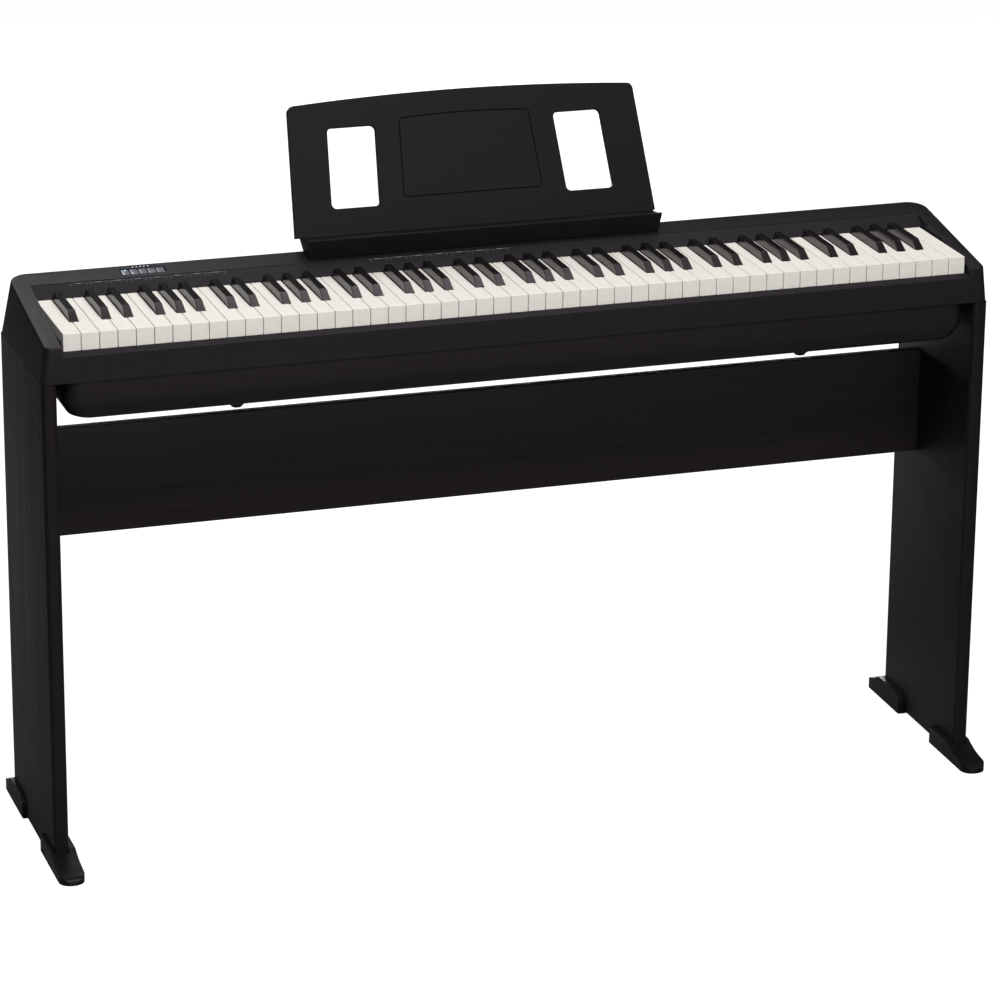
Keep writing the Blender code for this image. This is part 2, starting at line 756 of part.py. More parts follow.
def music_rest():
    """Leaning panel, ledge with its lip, and the foot whose two tabs plug into the top panel."""
    foot_back = 0.204
    foot_front = 0.178
    lift = 0.0005
    origin = (0, back(REST_TAB_BACK), top_plane(REST_TAB_BACK))
    bm = bmesh.new()
    add_prism(
        bm,
        rest_outline(),
        lambda p: rest_point(p[0], p[1], 0),
        lambda p: rest_point(p[0], p[1], REST_THICK),
    )
    rest = object_from(bm, "music_rest", case_plastic(), origin)

    bm = bmesh.new()
    rear = rest_point(0, -0.002, REST_THICK * 0.9)
    rear_top = rest_point(0, 0.004, REST_THICK * 0.5)
    outline = [
        (LIP_BACK + 0.002, LIP_Z),
        (LIP_BACK, LIP_Z - 0.001),
        (LIP_BACK + 0.001, LIP_Z - 0.0035),
        (foot_front, top_plane(foot_front) + lift),
        (foot_back, top_plane(foot_back) + lift),
        (rear[1] - KEY_FRONT_Y, rear[2]),
        (rear_top[1] - KEY_FRONT_Y, rear_top[2]),
        (REST_BASE[0] - 0.001, REST_BASE[1] + 0.0008),
    ]
    side_prism(bm, outline, -REST_LEDGE_HALF, REST_LEDGE_HALF)
    boolean(rest, object_from(bm, "rest_ledge", None), "UNION")

    for side in (-1, 1):
        bm = bmesh.new()
        bmesh.ops.create_cube(bm, size=1.0)
        bmesh.ops.scale(bm, vec=(REST_TAB_WIDTH, REST_TAB_THICK, 0.018), verts=bm.verts)
        tab = object_from(bm, f"rest_tab_{side}", None)
        tab.location = (side * REST_TAB_X, back(REST_TAB_BACK), top_plane(REST_TAB_BACK))
        tab.rotation_euler.x = -REST_LEAN
        boolean(rest, tab, "UNION")
        boolean(rest, rest_window(side), "DIFFERENCE")
    return rest


# Buttons and lights


def push_button(index):
    """One cap of the row, sliding square to the top panel."""
    bm = bmesh.new()
    bmesh.ops.create_cube(bm, size=1.0)
    bmesh.ops.scale(bm, vec=BUTTON_SIZE, verts=bm.verts)
    bmesh.ops.translate(bm, vec=(0, 0, -BUTTON_SIZE[2] / 2 - BUTTON_SINK), verts=bm.verts)
    name = "power_button" if index == 0 else f"button_{index + 1}"
    button = object_from(bm, name, button_plastic())
    x = BUTTON_X + (index - (BUTTON_COUNT - 1) / 2) * BUTTON_PITCH
    button.location = (x, back(BUTTON_BACK), top_plane(BUTTON_BACK))
    button.rotation_euler.x = TOP_TILT
    soften(button, 0.0006)
    return button


def tilted_box(name, mat, x, distance, size, top):
    """A box square to the top panel whose upper face lies this far above the panel's plane."""
    bm = bmesh.new()
    bmesh.ops.create_cube(bm, size=1.0)
    bmesh.ops.scale(bm, vec=size, verts=bm.verts)
    bmesh.ops.translate(bm, vec=(0, 0, top - size[2] / 2), verts=bm.verts)
    made = object_from(bm, name, mat)
    made.location = (x, back(distance), top_plane(distance))
    made.rotation_euler.x = TOP_TILT
    return made


def switch_board():
    """Narrow circuit board under the buttons, clear of their travel."""
    return tilted_box("switch_board", board_laminate(), BUTTON_X, 0.187, (0.076, 0.024, 0.0016), -0.0064)


def indicator_bar():
    """Clear bar that carries the five lights up to the panel's surface."""
    size = (LIGHT_COUNT * LIGHT_PITCH, 0.0024, 0.0035)
    return tilted_box("indicator_bar", light_lens(), light_x(), LIGHT_BACK, size, 0.0001)


# Stand


def side_panel(side, name):
    """Laminated board whose front edge is rounded on both sides."""
    top = SEAM_Z - GAP
    ease = 0.006
    outline = (
        corner((PANEL_INNER + ease, CASE_FRONT + ease), ease, 180, 3)
        + corner((PANEL_OUTER - ease, CASE_FRONT + ease), ease, 270, 3)
        + [(PANEL_OUTER, PANEL_BACK), (PANEL_INNER, PANEL_BACK)]
    )
    bm = bmesh.new()
    plan_prism(bm, [(side * x, d) for x, d in outline], PANEL_BOTTOM_Z, top)
    return object_from(bm, name, laminate())


def back_board():
    bm = bmesh.new()
    reach = PANEL_INNER - GAP
    box(bm, (-reach, BOARD_BACK, BOARD_BOTTOM_Z), (reach, BOARD_BACK + BOARD_THICK, BOARD_TOP_Z))
    return object_from(bm, "back_board", laminate())


def front_shoe_side():
    """Side view of a front shoe: low domed toe, cheeks beside the panel, square end behind."""
    toe = []
    steps = 5
    for k in range(steps + 1):
        turn = math.pi / 2 * k / steps
        toe.append((-0.055 - 0.015 * math.cos(turn), 0.004 + 0.0075 * math.sin(turn)))
    ramp = [(-0.030, 0.015), (-0.0125, 0.0215), (-0.006, 0.024)]
    return [(-TOE_REACH, 0)] + toe + ramp + [(0.054, 0.024), (0.054, 0)]


def rear_shoe_side():
    """Side view of a rear shoe: quarter-round front end, cheeks beside the panel, low tail."""
    radius = 0.018
    top = 0.0295
    nose = corner((0.161 + radius, top - radius), radius, 90, 4)[::-1]
    return [(0.161, 0)] + nose + [(0.2345, top), (0.250, 0.0215), (0.2715, 0.015), (0.273, 0.012), (0.273, 0)]


def shoe(side, outline, low, high, name):
    """A moulded shoe that wraps the foot of a side panel, cut out between two distances back."""
    bm = bmesh.new()
    side_prism(bm, outline, side * SHOE_INNER, side * SHOE_OUTER)
    made = object_from(bm, name, shoe_plastic())
    soften(made, 0.0015, 50)
    bm = bmesh.new()
    inner, outer = side * (PANEL_INNER - GAP), side * (PANEL_OUTER + GAP)
    box(bm, (min(inner, outer), low, PANEL_BOTTOM_Z - GAP), (max(inner, outer), high, 0.05))
    boolean(made, object_from(bm, name + "_groove", None), "DIFFERENCE")
    return made


def corner_bracket(side, name):
    """Steel angle behind the back board, between it and a side panel."""
    sheet = 0.002
    reach = 0.032
    inner = PANEL_INNER - GAP
    rear = BOARD_BACK + BOARD_THICK + GAP
    outline = [
        (inner, rear),
        (inner, rear + reach),
        (inner - sheet, rear + reach),
        (inner - sheet, rear + sheet),
        (inner - reach, rear + sheet),
        (inner - reach, rear),
    ]
    bm = bmesh.new()
    plan_prism(bm, [(side * x, d) for x, d in outline], BOARD_BOTTOM_Z + 0.02, BOARD_TOP_Z - 0.02)
    return object_from(bm, name, black_steel())


def stand():
    back_board()
    for side, word in ((-1, "left"), (1, "right")):
        side_panel(side, f"side_panel_{word}")
        shoe(side, front_shoe_side(), CASE_FRONT - GAP, 0.06, f"front_shoe_{word}")
        shoe(side, rear_shoe_side(), 0.15, PANEL_BACK + GAP, f"rear_shoe_{word}")
        corner_bracket(side, f"corner_bracket_{word}")


def piano():
    upper_case()
    lower_case()
    key_bed()
    pivot_rod()
    main_board()
    switch_board()
    indicator_bar()
    for name in SOCKETS:
        socket(name)
    for side, word in ((-1, "left"), (1, "right")):
        speaker(side, f"speaker_{word}")
        for place, distance in CASE_FOOT_BACKS.items():
            case_foot(side * CASE_FOOT_X, distance, f"case_foot_{place}_{word}")
    keyboard()
    music_rest()
    for index in range(BUTTON_COUNT):
        push_button(index)


clear_scene()
piano()
stand()
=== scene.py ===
"""A digital piano on its stand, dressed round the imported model.

Metres, +Z up, +X to the player's right, +Y away from the player. Distances called "back" are measured
from the front faces of the white keys, as they are on the real instrument's drawings.
"""

import math

import bmesh
import bpy
from mathutils import Matrix, Vector


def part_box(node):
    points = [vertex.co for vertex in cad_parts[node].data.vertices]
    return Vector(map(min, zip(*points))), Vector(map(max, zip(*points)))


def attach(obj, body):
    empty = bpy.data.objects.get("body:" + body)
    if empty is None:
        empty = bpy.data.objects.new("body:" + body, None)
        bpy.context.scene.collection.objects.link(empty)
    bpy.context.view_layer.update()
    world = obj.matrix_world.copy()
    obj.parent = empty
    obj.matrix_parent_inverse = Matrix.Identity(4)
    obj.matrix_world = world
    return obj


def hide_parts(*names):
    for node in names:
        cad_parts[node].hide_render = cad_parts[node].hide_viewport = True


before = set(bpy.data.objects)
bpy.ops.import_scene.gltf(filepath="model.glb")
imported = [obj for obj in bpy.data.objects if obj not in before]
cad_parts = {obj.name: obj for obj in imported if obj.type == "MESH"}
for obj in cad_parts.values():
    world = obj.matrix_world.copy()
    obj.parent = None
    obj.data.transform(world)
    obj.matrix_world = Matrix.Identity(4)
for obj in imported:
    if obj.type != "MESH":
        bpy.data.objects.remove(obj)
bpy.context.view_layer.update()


# ---------------- studio
# A sheet of pale paper under a large lamp in front of and above the instrument, a small one overhead, a low
# fill, a strip that catches rounded edges and a rear lamp for the top panel's sheen. A low lamp behind shows
# the rear to anyone who walks round.

EYE = Vector((-1.715, -5.1763, 2.308))
EYE_TURN = math.radians(18.34)  # to the right of straight ahead
EYE_DROP = math.radians(19.29)
EYE_ROLL = math.radians(0.49)
LENS = 156.1
PAPER_REACH = 30.0


def add(name, data):
    """A new object in the scene."""
    made = bpy.data.objects.new(name, data)
    bpy.context.scene.collection.objects.link(made)
    return made


def aim_camera():
    forward = Vector((
        math.sin(EYE_TURN) * math.cos(EYE_DROP),
        math.cos(EYE_TURN) * math.cos(EYE_DROP),
        -math.sin(EYE_DROP),
    ))
    level = Vector((math.cos(EYE_TURN), -math.sin(EYE_TURN), 0))
    upright = level.cross(forward)
    right = level * math.cos(EYE_ROLL) + upright * math.sin(EYE_ROLL)
    up = upright * math.cos(EYE_ROLL) - level * math.sin(EYE_ROLL)
    data = bpy.data.cameras.new("camera")
    data.lens = LENS
    data.clip_end = 100
    camera = add("camera", data)
    camera.matrix_world = Matrix.Translation(EYE) @ Matrix((right, up, -forward)).transposed().to_4x4()
    bpy.context.scene.camera = camera


def wired(tree, kind, output, inputs, **settings):
    """An output of a new shader node with these settings; its inputs are sockets or plain values."""
    made = tree.nodes.new("ShaderNode" + kind)
    for label, value in settings.items():
        setattr(made, label, value)
    for label, value in inputs.items():
        if isinstance(value, bpy.types.NodeSocket):
            tree.links.new(value, made.inputs[label])
        else:
            made.inputs[label].default_value = value
    return made.outputs[output]


def blend_colours(tree, mask, first, second):
    return wired(tree, "Mix", "Result", {"Factor": mask, "A": first, "B": second}, data_type="RGBA")


def seen_apart(tree, unseen, seen, end):
    """Shows one shader to the eye and the other to the light that bounces about."""
    to_eye = wired(tree, "LightPath", "Is Camera Ray", {})
    tree.links.new(wired(tree, "MixShader", 0, {0: to_eye, 1: unseen, 2: seen}), end.inputs["Surface"])


def paper():
    """White to the eye with a faint contact shadow, grey to the light that bounces off it."""
    made = bpy.data.materials.new("studio_paper")
    made.use_nodes = True
    tree = made.node_tree
    tree.nodes.clear()
    fibres = wired(tree, "TexNoise", "Fac", {"Scale": 60})
    tint = blend_colours(tree, fibres, (0.27, 0.27, 0.27, 1), (0.28, 0.28, 0.28, 1))
    sheet = wired(tree, "BsdfDiffuse", 0, {"Color": tint})
    glow = wired(tree, "Emission", 0, {"Strength": 0.95})
    both = wired(tree, "AddShader", 0, {0: sheet, 1: glow})
    seen_apart(tree, sheet, both, tree.nodes.new("ShaderNodeOutputMaterial"))
    return made


def paper_floor():
    bm = bmesh.new()
    bmesh.ops.create_grid(bm, x_segments=1, y_segments=1, size=PAPER_REACH)
    mesh = bpy.data.meshes.new("floor")
    bm.to_mesh(mesh)
    bm.free()
    mesh.materials.append(paper())
    add("floor", mesh)


def lamp(name, place, target, size, power):
    data = bpy.data.lights.new(name, "AREA")
    data.shape = "RECTANGLE"
    data.size, data.size_y = size
    data.energy = power
    light = add(name, data)
    light.location = place
    light.rotation_euler = (Vector(target) - Vector(place)).to_track_quat("-Z", "Y").to_euler()


def room_light():
    """Even grey surroundings, white where the eye sees past the paper."""
    world = bpy.data.worlds.new("room")
    world.use_nodes = True
    bpy.context.scene.world = world
    nodes = world.node_tree.nodes
    shade = nodes["Background"]
    shade.inputs["Color"].default_value = (0.92, 0.88, 1.0, 1)
    shade.inputs["Strength"].default_value = 0.02
    bright = wired(world.node_tree, "Background", 0, {"Strength": 1.0})
    seen_apart(world.node_tree, shade.outputs[0], bright, nodes["World Output"])


aim_camera()
paper_floor()
lamp("main_lamp", (-0.3, -2.2, 3.8), (0, 0, 0.6), (3.0, 1.4), 136)
lamp("top_lamp", (0.7, 0.35, 3.6), (0, 0, 0.7), (2.6, 0.8), 15)
lamp("edge_lamp", (0.9, 1.65, 3.2), (0, 0, 0.7), (2.0, 0.08), 11)
lamp("rear_lamp", (-0.8, 2.2, 2.8), (-0.2, 0, 0.7), (2.0, 1.0), 24)
lamp("low_fill", (0, -4.4, 0.9), (0, 0, 0.5), (3.4, 1.2), 36)
lamp("back_fill", (1.2, 4.4, 0.42), (0, 0, 0.45), (4.0, 0.5), 90)
room_light()
bpy.context.scene.view_settings.view_transform = "Standard"


# ---------------- side panels
# Two particle boards faced with black wood-grain laminate. Their front edges are rounded over and wrapped in
# the same foil; the backs are square with a thin edge band. They carry the case and stand in the shoes.

key_front_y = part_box("white_key_C4")[0].y
SIDES = (("left", -1), ("right", 1))
FIXED = "piano_and_stand"  # the body that doesn't move
EDGE_ROUND = 0.006
BAND_ROUND = 0.0008


def back(distance):
    """The y value of a point this far behind the white keys' fronts."""
    return key_front_y + distance


def depth_range(node):
    """How far back a node starts and ends."""
    low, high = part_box(node)
    return low.y - key_front_y, high.y - key_front_y


def side_range(node):
    """How far from the middle a node at one side starts and ends."""
    return sorted(abs(corner.x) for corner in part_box(node))


def arc(centre, radius, start, sweep, steps):
    """Points along an arc, from a start angle through a sweep, in degrees."""
    turns = [math.radians(start + sweep * k / steps) for k in range(steps + 1)]
    return [(centre[0] + radius * math.cos(t), centre[1] + radius * math.sin(t)) for t in turns]


def corners(x0, y0, x1, y1):
    return [(x0, y0), (x1, y0), (x1, y1), (x0, y1)]


def rounded(x0, y0, x1, y1, near, far, near_steps=8, far_steps=8):
    """A rectangle with round corners: one radius for those at y0, another for those at y1."""
    return (
        arc((x1 - near, y0 + near), near, 270, 90, near_steps)
        + arc((x1 - far, y1 - far), far, 0, 90, far_steps)
        + arc((x0 + far, y1 - far), far, 90, 90, far_steps)
        + arc((x0 + near, y0 + near), near, 180, 90, near_steps)
    )


def shape(bm, name):
    """Closes a bmesh into an object with its faces outwards."""
    bmesh.ops.recalc_face_normals(bm, faces=bm.faces)
    mesh = bpy.data.meshes.new(name)
    bm.to_mesh(mesh)
    bm.free()
    return add(name, mesh)


def solid(name, *prisms):
    """An object made of closed prisms: an outline, a function that places its points, and two ends each."""
    bm = bmesh.new()
    for outline, place, ends in prisms:
        first, second = ([bm.verts.new(place(p, end)) for p in outline] for end in ends)
        bm.faces.new(first)
        bm.faces.new(second[::-1])
        for i in range(len(outline)):
            j = (i + 1) % len(outline)
            bm.faces.new((first[i], first[j], second[j], second[i]))
    return shape(bm, name)


def plan(outline, z0, z1):
    """A plan (x, back) stretched from z0 to z1."""
    return outline, lambda p, z: (p[0], back(p[1]), z), (z0, z1)


def side_view(outline, x0, x1):
    """A side view (back, z) stretched from x0 to x1."""
    return outline, lambda p, x: (x, back(p[0]), p[1]), (x0, x1)


def ease(thing, width, steps=3, angle=40, clamp=True):
    """Rounds the sharp edges a little, as tools and moulds leave them."""
    step = thing.modifiers.new("ease", "BEVEL")
    step.width = width
    step.segments = steps
    step.limit_method = "ANGLE"
    step.angle_limit = math.radians(angle)
    step.use_clamp_overlap = clamp
    step.harden_normals = True


def finish(thing, material, body, slot, *nodes):
    """Smooth shading, material, a parent on the body that the piece rides on, and the CAD nodes it stands in
    for hidden.
    """
    thing.data.materials.clear()
    thing.data.materials.append(material)
    thing.data.shade_smooth()
    if "ease" not in thing.modifiers:
        thing.data.set_sharp_from_angle(angle=math.radians(35))
    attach(thing, body)
    if nodes:
        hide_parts(*nodes)


def node_group(name, given):
    """A new shader group with these inputs, and a colour, a roughness and a height out of it."""
    group = bpy.data.node_groups.new(name, "ShaderNodeTree")
    for label, value in given.items():
        kind = {3: "Vector", 4: "Color"}[len(value)] if isinstance(value, tuple) else "Float"
        socket = group.interface.new_socket(label, in_out="INPUT", socket_type="NodeSocket" + kind)
        socket.default_value = value
    for label, kind in (("Color", "Color"), ("Roughness", "Float"), ("Height", "Float")):
        group.interface.new_socket(label, in_out="OUTPUT", socket_type="NodeSocket" + kind)
    return group, group.nodes.new("NodeGroupInput").outputs, group.nodes.new("NodeGroupOutput").inputs


def maths(tree, operation, first, second):
    """The result of a Math node on sockets or numbers."""
    return wired(tree, "Math", 0, {0: first, 1: second}, operation=operation)


def noise(tree, place, scale, detail=2.0, rough=0.5):
    inputs = {"Vector": place, "Scale": scale, "Detail": detail, "Roughness": rough}
    return wired(tree, "TexNoise", "Fac", inputs)


def spread(tree, value, low, high):
    """Stretches the range from low to high over 0 to 1."""
    return wired(tree, "MapRange", "Result", {"Value": value, "From Min": low, "From Max": high})


def own_place(tree):
    return wired(tree, "TexCoord", "Object", {})


def uneven_roughness(group, given, first, second):
    """The given roughness, moved about by the sum of two masks."""
    both = maths(group, "SUBTRACT", maths(group, "ADD", first, second), 1.0)
    return maths(group, "ADD", given["Roughness"], maths(group, "MULTIPLY", both, given["Roughness Shift"]))


def make_streaked_grain():
    """Long fine streaks along one direction, with slow drifts of tone and sheen."""
    group, given, result = node_group("streaked_grain", {
        "Color": (0.5, 0.5, 0.5, 1),
        "Streak Color": (0.4, 0.4, 0.4, 1),
        "Squeeze": (1, 1, 0.03),
        "Grain Scale": 500,
        "Roughness": 0.5,
        "Roughness Shift": 0.05,
    })
    place = own_place(group)
    line = wired(group, "VectorMath", 0, {0: place, 1: given["Squeeze"]}, operation="MULTIPLY")
    fine = maths(group, "MULTIPLY", noise(group, line, given["Grain Scale"], 3.0, 0.6), 0.55)
    broad_scale = maths(group, "MULTIPLY", given["Grain Scale"], 0.16)
    broad = maths(group, "MULTIPLY", noise(group, line, broad_scale, 3.0, 0.55), 0.45)
    mask = spread(group, maths(group, "ADD", fine, broad), 0.38, 0.62)
    group.links.new(blend_colours(group, mask, given["Color"], given["Streak Color"]), result["Color"])
    drift = noise(group, place, 4.0, 2.0)
    group.links.new(uneven_roughness(group, given, drift, mask), result["Roughness"])
    group.links.new(mask, result["Height"])
    return group


def surface(name, group, settings, bump, extra):
    """A Principled material whose colour, roughness and bump come from a group with its own settings."""
    made = bpy.data.materials.new(name)
    made.use_nodes = True
    tree = made.node_tree
    shader = tree.nodes["Principled BSDF"]
    effect = tree.nodes.new("ShaderNodeGroup")
    effect.node_tree = group
    for label, value in settings.items():
        effect.inputs[label].default_value = value
    tree.links.new(effect.outputs["Color"], shader.inputs["Base Color"])
    tree.links.new(effect.outputs["Roughness"], shader.inputs["Roughness"])
    height = effect.outputs["Height"]
    relief = wired(tree, "Bump", "Normal", {"Strength": 1.0, "Distance": bump, "Height": height})
    tree.links.new(relief, shader.inputs["Normal"])
    for label, value in extra.items():
        shader.inputs[label].default_value = value
    return made


def streaked(name, colour, streak, squeeze, scale, roughness, shift, bump, extra):
    """A material with fine streaks along the direction that is squeezed."""
    return surface(name, streaked_grain, {
        "Color": (*colour, 1),
        "Streak Color": (*streak, 1),
        "Squeeze": squeeze,
        "Grain Scale": scale,
        "Roughness": roughness,
        "Roughness Shift": shift,
    }, bump, extra)


def laminate(direction, squeeze, depth):
    """Black wood-grain foil, with its grain along one direction. depth scales the foil's colour for each
    piece: painted light, the same foil made lighter where a piece should look more brightly lit.
    """
    ground = [depth * c for c in (0.0082, 0.0062, 0.0074)]
    streak = [depth * c for c in (0.0130, 0.0102, 0.0122)]
    return streaked("laminate_" + direction, ground, streak, squeeze, 620, 0.48, 0.10, 0.00003,
                    {"Specular IOR Level": 0.20, "Specular Tint": (1, 0.88, 0.95, 1)})


streaked_grain = make_streaked_grain()
# Side panels: the foil at 0.72 of its base colour, 2.5 times darker than the back board's copy of the same
# foil; the difference is painted light.
panel_laminate = laminate("upright", (1, 1, 0.02), 0.72)


def side_panel(word, side):
    node = "side_panel_" + word
    low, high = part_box(node)
    inner, outer = side_range(node)
    front, rear = depth_range(node)
    outline = rounded(inner, front, outer, rear, EDGE_ROUND, BAND_ROUND, 8, 3)
    panel = solid(node + "_board", plan([(side * x, d) for x, d in outline], low.z, high.z))
    finish(panel, panel_laminate, FIXED, "laminate", node)


for word, side in SIDES:
    side_panel(word, side)


# ---------------- back board
# A laminated board between the two side panels that keeps the stand square. Its long edges are banded and
# slightly eased; steel angles behind it take the screws.


def back_board():
    low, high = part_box("back_board")
    outline = rounded(low.y, low.z, high.y, high.z, BAND_ROUND, BAND_ROUND, 3, 3)
    board = solid("back_board_panel", (outline, lambda p, x: (x, *p), (low.x, high.x)))
    # Back board: the same foil at 1.8 times its base colour, painted lighter than the side panels to stand in
    # for the light it catches.
    finish(board, laminate("along", (0.02, 1, 1), 1.8), FIXED, "laminate", "back_board")


back_board()


# ---------------- shoes
# Four moulded plastic feet, pushed over the bottoms of the side panels from the front and the rear. The front
# ones reach forward in a low dome; all are screwed to the panels through their cheeks.

SHOE_EASE = 0.0014
PANEL_ROOM = 0.0003
SHOE_SCREWS = (  # shoe, distance back, height
    ("front", 0.012, 0.0155), ("front", 0.040, 0.0155), ("rear", 0.186, 0.0195), ("rear", 0.218, 0.0195),
)
SHOE_SCREW_RADIUS = 0.00198
SHOE_SCREW_SINK = 0.0008


def make_moulded_grain():
    """Fine spark-eroded texture of a moulding, with faint flecks and drifts of tone and sheen."""
    group, given, result = node_group("moulded_grain", {
        "Color": (0.5, 0.5, 0.5, 1),
        "Fleck Color": (0.4, 0.4, 0.4, 1),
        "Fleck Scale": 300,
        "Fleck Amount": 0.3,
        "Grain Scale": 1800,
        "Roughness": 0.45,
        "Roughness Shift": 0.05,
    })
    place = own_place(group)
    drift = noise(group, place, 5.0, 3.0)
    flecks = spread(group, noise(group, place, given["Fleck Scale"], 3.0, 0.65), 0.42, 0.62)
    amount = maths(group, "ADD", maths(group, "MULTIPLY", drift, 0.5), flecks)
    amount = maths(group, "MULTIPLY", amount, given["Fleck Amount"])
    group.links.new(blend_colours(group, amount, given["Color"], given["Fleck Color"]), result["Color"])
    group.links.new(uneven_roughness(group, given, drift, flecks), result["Roughness"])
    group.links.new(noise(group, place, given["Grain Scale"], 2.0, 0.6), result["Height"])
    return group


def moulding(name, colour, fleck, roughness, specular=0.25, fleck_amount=0.35, fleck_scale=260, bump=0.00001,
             grain=1800, tint=(1, 1, 1), shift=0.06, extra={}):
    """A plastic, lacquer or metal with a fine even texture."""
    return surface(name, moulded_grain, {
        "Color": (*colour, 1),
        "Fleck Color": (*fleck, 1),
        "Fleck Scale": fleck_scale,
        "Fleck Amount": fleck_amount,
        "Grain Scale": grain,
        "Roughness": roughness,
        "Roughness Shift": shift,
    }, bump, {"Specular IOR Level": specular, "Specular Tint": (*tint, 1), **extra})


def smooth_line(points, steps):
    """A Catmull-Rom line through the points, which may have any number of coordinates."""
    line = []
    for i in range(len(points) - 1):
        before = points[max(i - 1, 0)]
        a, b = points[i], points[i + 1]
        after = points[min(i + 2, len(points) - 1)]
        for k in range(steps):
            t = k / steps
            line.append(tuple(
                0.5 * (2 * q + (r - p) * t + (2 * p - 5 * q + 4 * r - s) * t ** 2
                       + (3 * q - p - 3 * r + s) * t ** 3)
                for p, q, r, s in zip(before, a, b, after)
            ))
    return line + [tuple(points[-1])]


def carve(thing, tool, operation="DIFFERENCE"):
    """Cuts, joins or crosses a piece with another shape, which is then thrown away."""
    step = thing.modifiers.new("carve", "BOOLEAN")
    step.operation = operation
    step.solver = "EXACT"
    step.object = tool
    bpy.context.view_layer.update()
    done = bpy.data.meshes.new_from_object(thing.evaluated_get(bpy.context.evaluated_depsgraph_get()))
    thing.modifiers.clear()
    thing.data = done
    bpy.data.objects.remove(tool, do_unlink=True)


def turned(name, profile, sides):
    """A solid of revolution about z; the profile is (radius, z) from the axis, over the rim, to the axis."""
    bm = bmesh.new()
    verts = [bm.verts.new((r, 0, z)) for r, z in profile]
    edges = [bm.edges.new(pair) for pair in zip(verts, verts[1:])]
    bmesh.ops.spin(bm, geom=verts + edges, cent=(0, 0, 0), axis=(0, 0, 1), angle=2 * math.pi, steps=sides,
                   use_merge=True)
    bmesh.ops.remove_doubles(bm, verts=bm.verts, dist=0.00001)
    return shape(bm, name)


def screw_head_mesh():
    """A pan head with a cross recess, 1 unit in radius, seat at z = 0."""
    head = turned("screw_head_pattern", [(0, 0.55)] + [(x, z * 0.55) for x, z in arc((0, 0), 1, 80, -80, 6)]
                  + [(1, -0.2), (0, -0.2)], 20)
    for blade in ((0.22, 1.1, 0.6), (1.1, 0.22, 0.6)):
        bm = bmesh.new()
        bmesh.ops.create_cube(bm, size=1.0)
        bmesh.ops.scale(bm, vec=blade, verts=bm.verts)
        bmesh.ops.translate(bm, vec=(0, 0, 0.55), verts=bm.verts)
        carve(head, shape(bm, "recess"))
    mesh = head.data
    bpy.data.objects.remove(head, do_unlink=True)
    mesh.name = "screw_head"
    mesh.materials.clear()
    mesh.materials.append(screw_steel)
    mesh.shade_smooth()
    mesh.set_sharp_from_angle(angle=math.radians(35))
    return mesh


moulded_grain = make_moulded_grain()
screw_steel = moulding("screw_steel", (0.10, 0.10, 0.105), (0.05, 0.05, 0.055), 0.38, 0.5, 0.5, 900,
                       grain=3000, shift=0.1, extra={"Metallic": 1.0})
shoe_plastic = moulding("shoe_plastic", (0.0040, 0.0034, 0.0040), (0.0065, 0.0055, 0.0065), 0.42, 0.16)
screw_head = screw_head_mesh()


def screw(name, place, facing, radius):
    """A screw head seated at a place, facing a direction."""
    head = add(name, screw_head)
    turn = Vector(facing).to_track_quat("Z", "Y").to_matrix().to_4x4()
    head.matrix_world = Matrix.Translation(place) @ turn @ Matrix.Scale(radius, 4)
    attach(head, FIXED)


def front_shoe_side(toe, heel, top):
    """Side view: low dome of the toe, ramp, and the cheeks beside the panel."""
    ramp = smooth_line([
        (toe, 0.0035), (toe + 0.0045, 0.0085), (toe + 0.015, 0.0115), (toe + 0.040, 0.0150),
        (toe + 0.0575, 0.0205), (toe + 0.066, top),
    ], 4)
    return [(toe, 0)] + ramp + [(heel, top), (heel, 0)]


def rear_shoe_side(nose, heel, top):
    """Side view: quarter-round front end, cheeks beside the panel, and a tail that drops to the floor."""
    round_nose = arc((nose + 0.018, top - 0.018), 0.018, 180, -90, 8)
    tail = smooth_line([
        (heel - 0.0385, top), (heel - 0.023, 0.0215), (heel - 0.0035, 0.0150), (heel, 0.0110),
    ], 4)
    return [(nose, 0)] + round_nose + tail + [(heel, 0)]


def shoe(word, side, place, outline, front_round, rear_round):
    """A side view crossed with a rounded plan, and a slot for the panel."""
    node = f"{place}_shoe_{word}"
    low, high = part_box(node)
    panel_low, panel_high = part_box("side_panel_" + word)
    inner, outer = side_range(node)
    front, rear = depth_range(node)
    made = solid(node + "_cover", side_view(outline(front, rear, high.z), low.x, high.x))
    top_view = rounded(inner, front, outer, rear, front_round, rear_round, 8, 4)
    carve(made, solid("plan", plan([(side * x, d) for x, d in top_view], -0.01, 0.05)), "INTERSECT")
    if place == "rear":
        slot_front, slot_rear = low.y - 0.01, panel_high.y + PANEL_ROOM
    else:
        slot_front, slot_rear = panel_low.y - PANEL_ROOM, high.y + 0.01
    slot = corners(panel_low.x - PANEL_ROOM, slot_front, panel_high.x + PANEL_ROOM, slot_rear)
    carve(made, solid("panel_slot", (slot, lambda p, z: (*p, z), (panel_low.z - PANEL_ROOM, 0.06))))
    ease(made, SHOE_EASE, 3, 45)
    finish(made, shoe_plastic, FIXED, "shoes", node)


def shoe_screws(word, side):
    """Two small screws through each cheek, outside and inside."""
    inner, outer = side_range("front_shoe_" + word)
    for number, (place, distance, z) in enumerate(SHOE_SCREWS):
        for face, x, way in (("outer", outer, 1), ("inner", inner, -1)):
            seat = (side * (x - way * SHOE_SCREW_SINK), back(distance), z)
            name = f"{place}_shoe_screw_{word}_{face}_{number}"
            screw(name, seat, (side * way, 0, 0), SHOE_SCREW_RADIUS)


for word, side in SIDES:
    shoe(word, side, "front", front_shoe_side, 0.0155, 0.002)
    shoe(word, side, "rear", rear_shoe_side, 0.003, 0.006)
    shoe_screws(word, side)


# ---------------- corner brackets
# Black-lacquered steel angles behind the back board. Each leaf takes three pan-head screws, into the board on
# one side and the side panel on the other.

BRACKET_SHEET = 0.002
BRACKET_SCREW_RADIUS = 0.0042

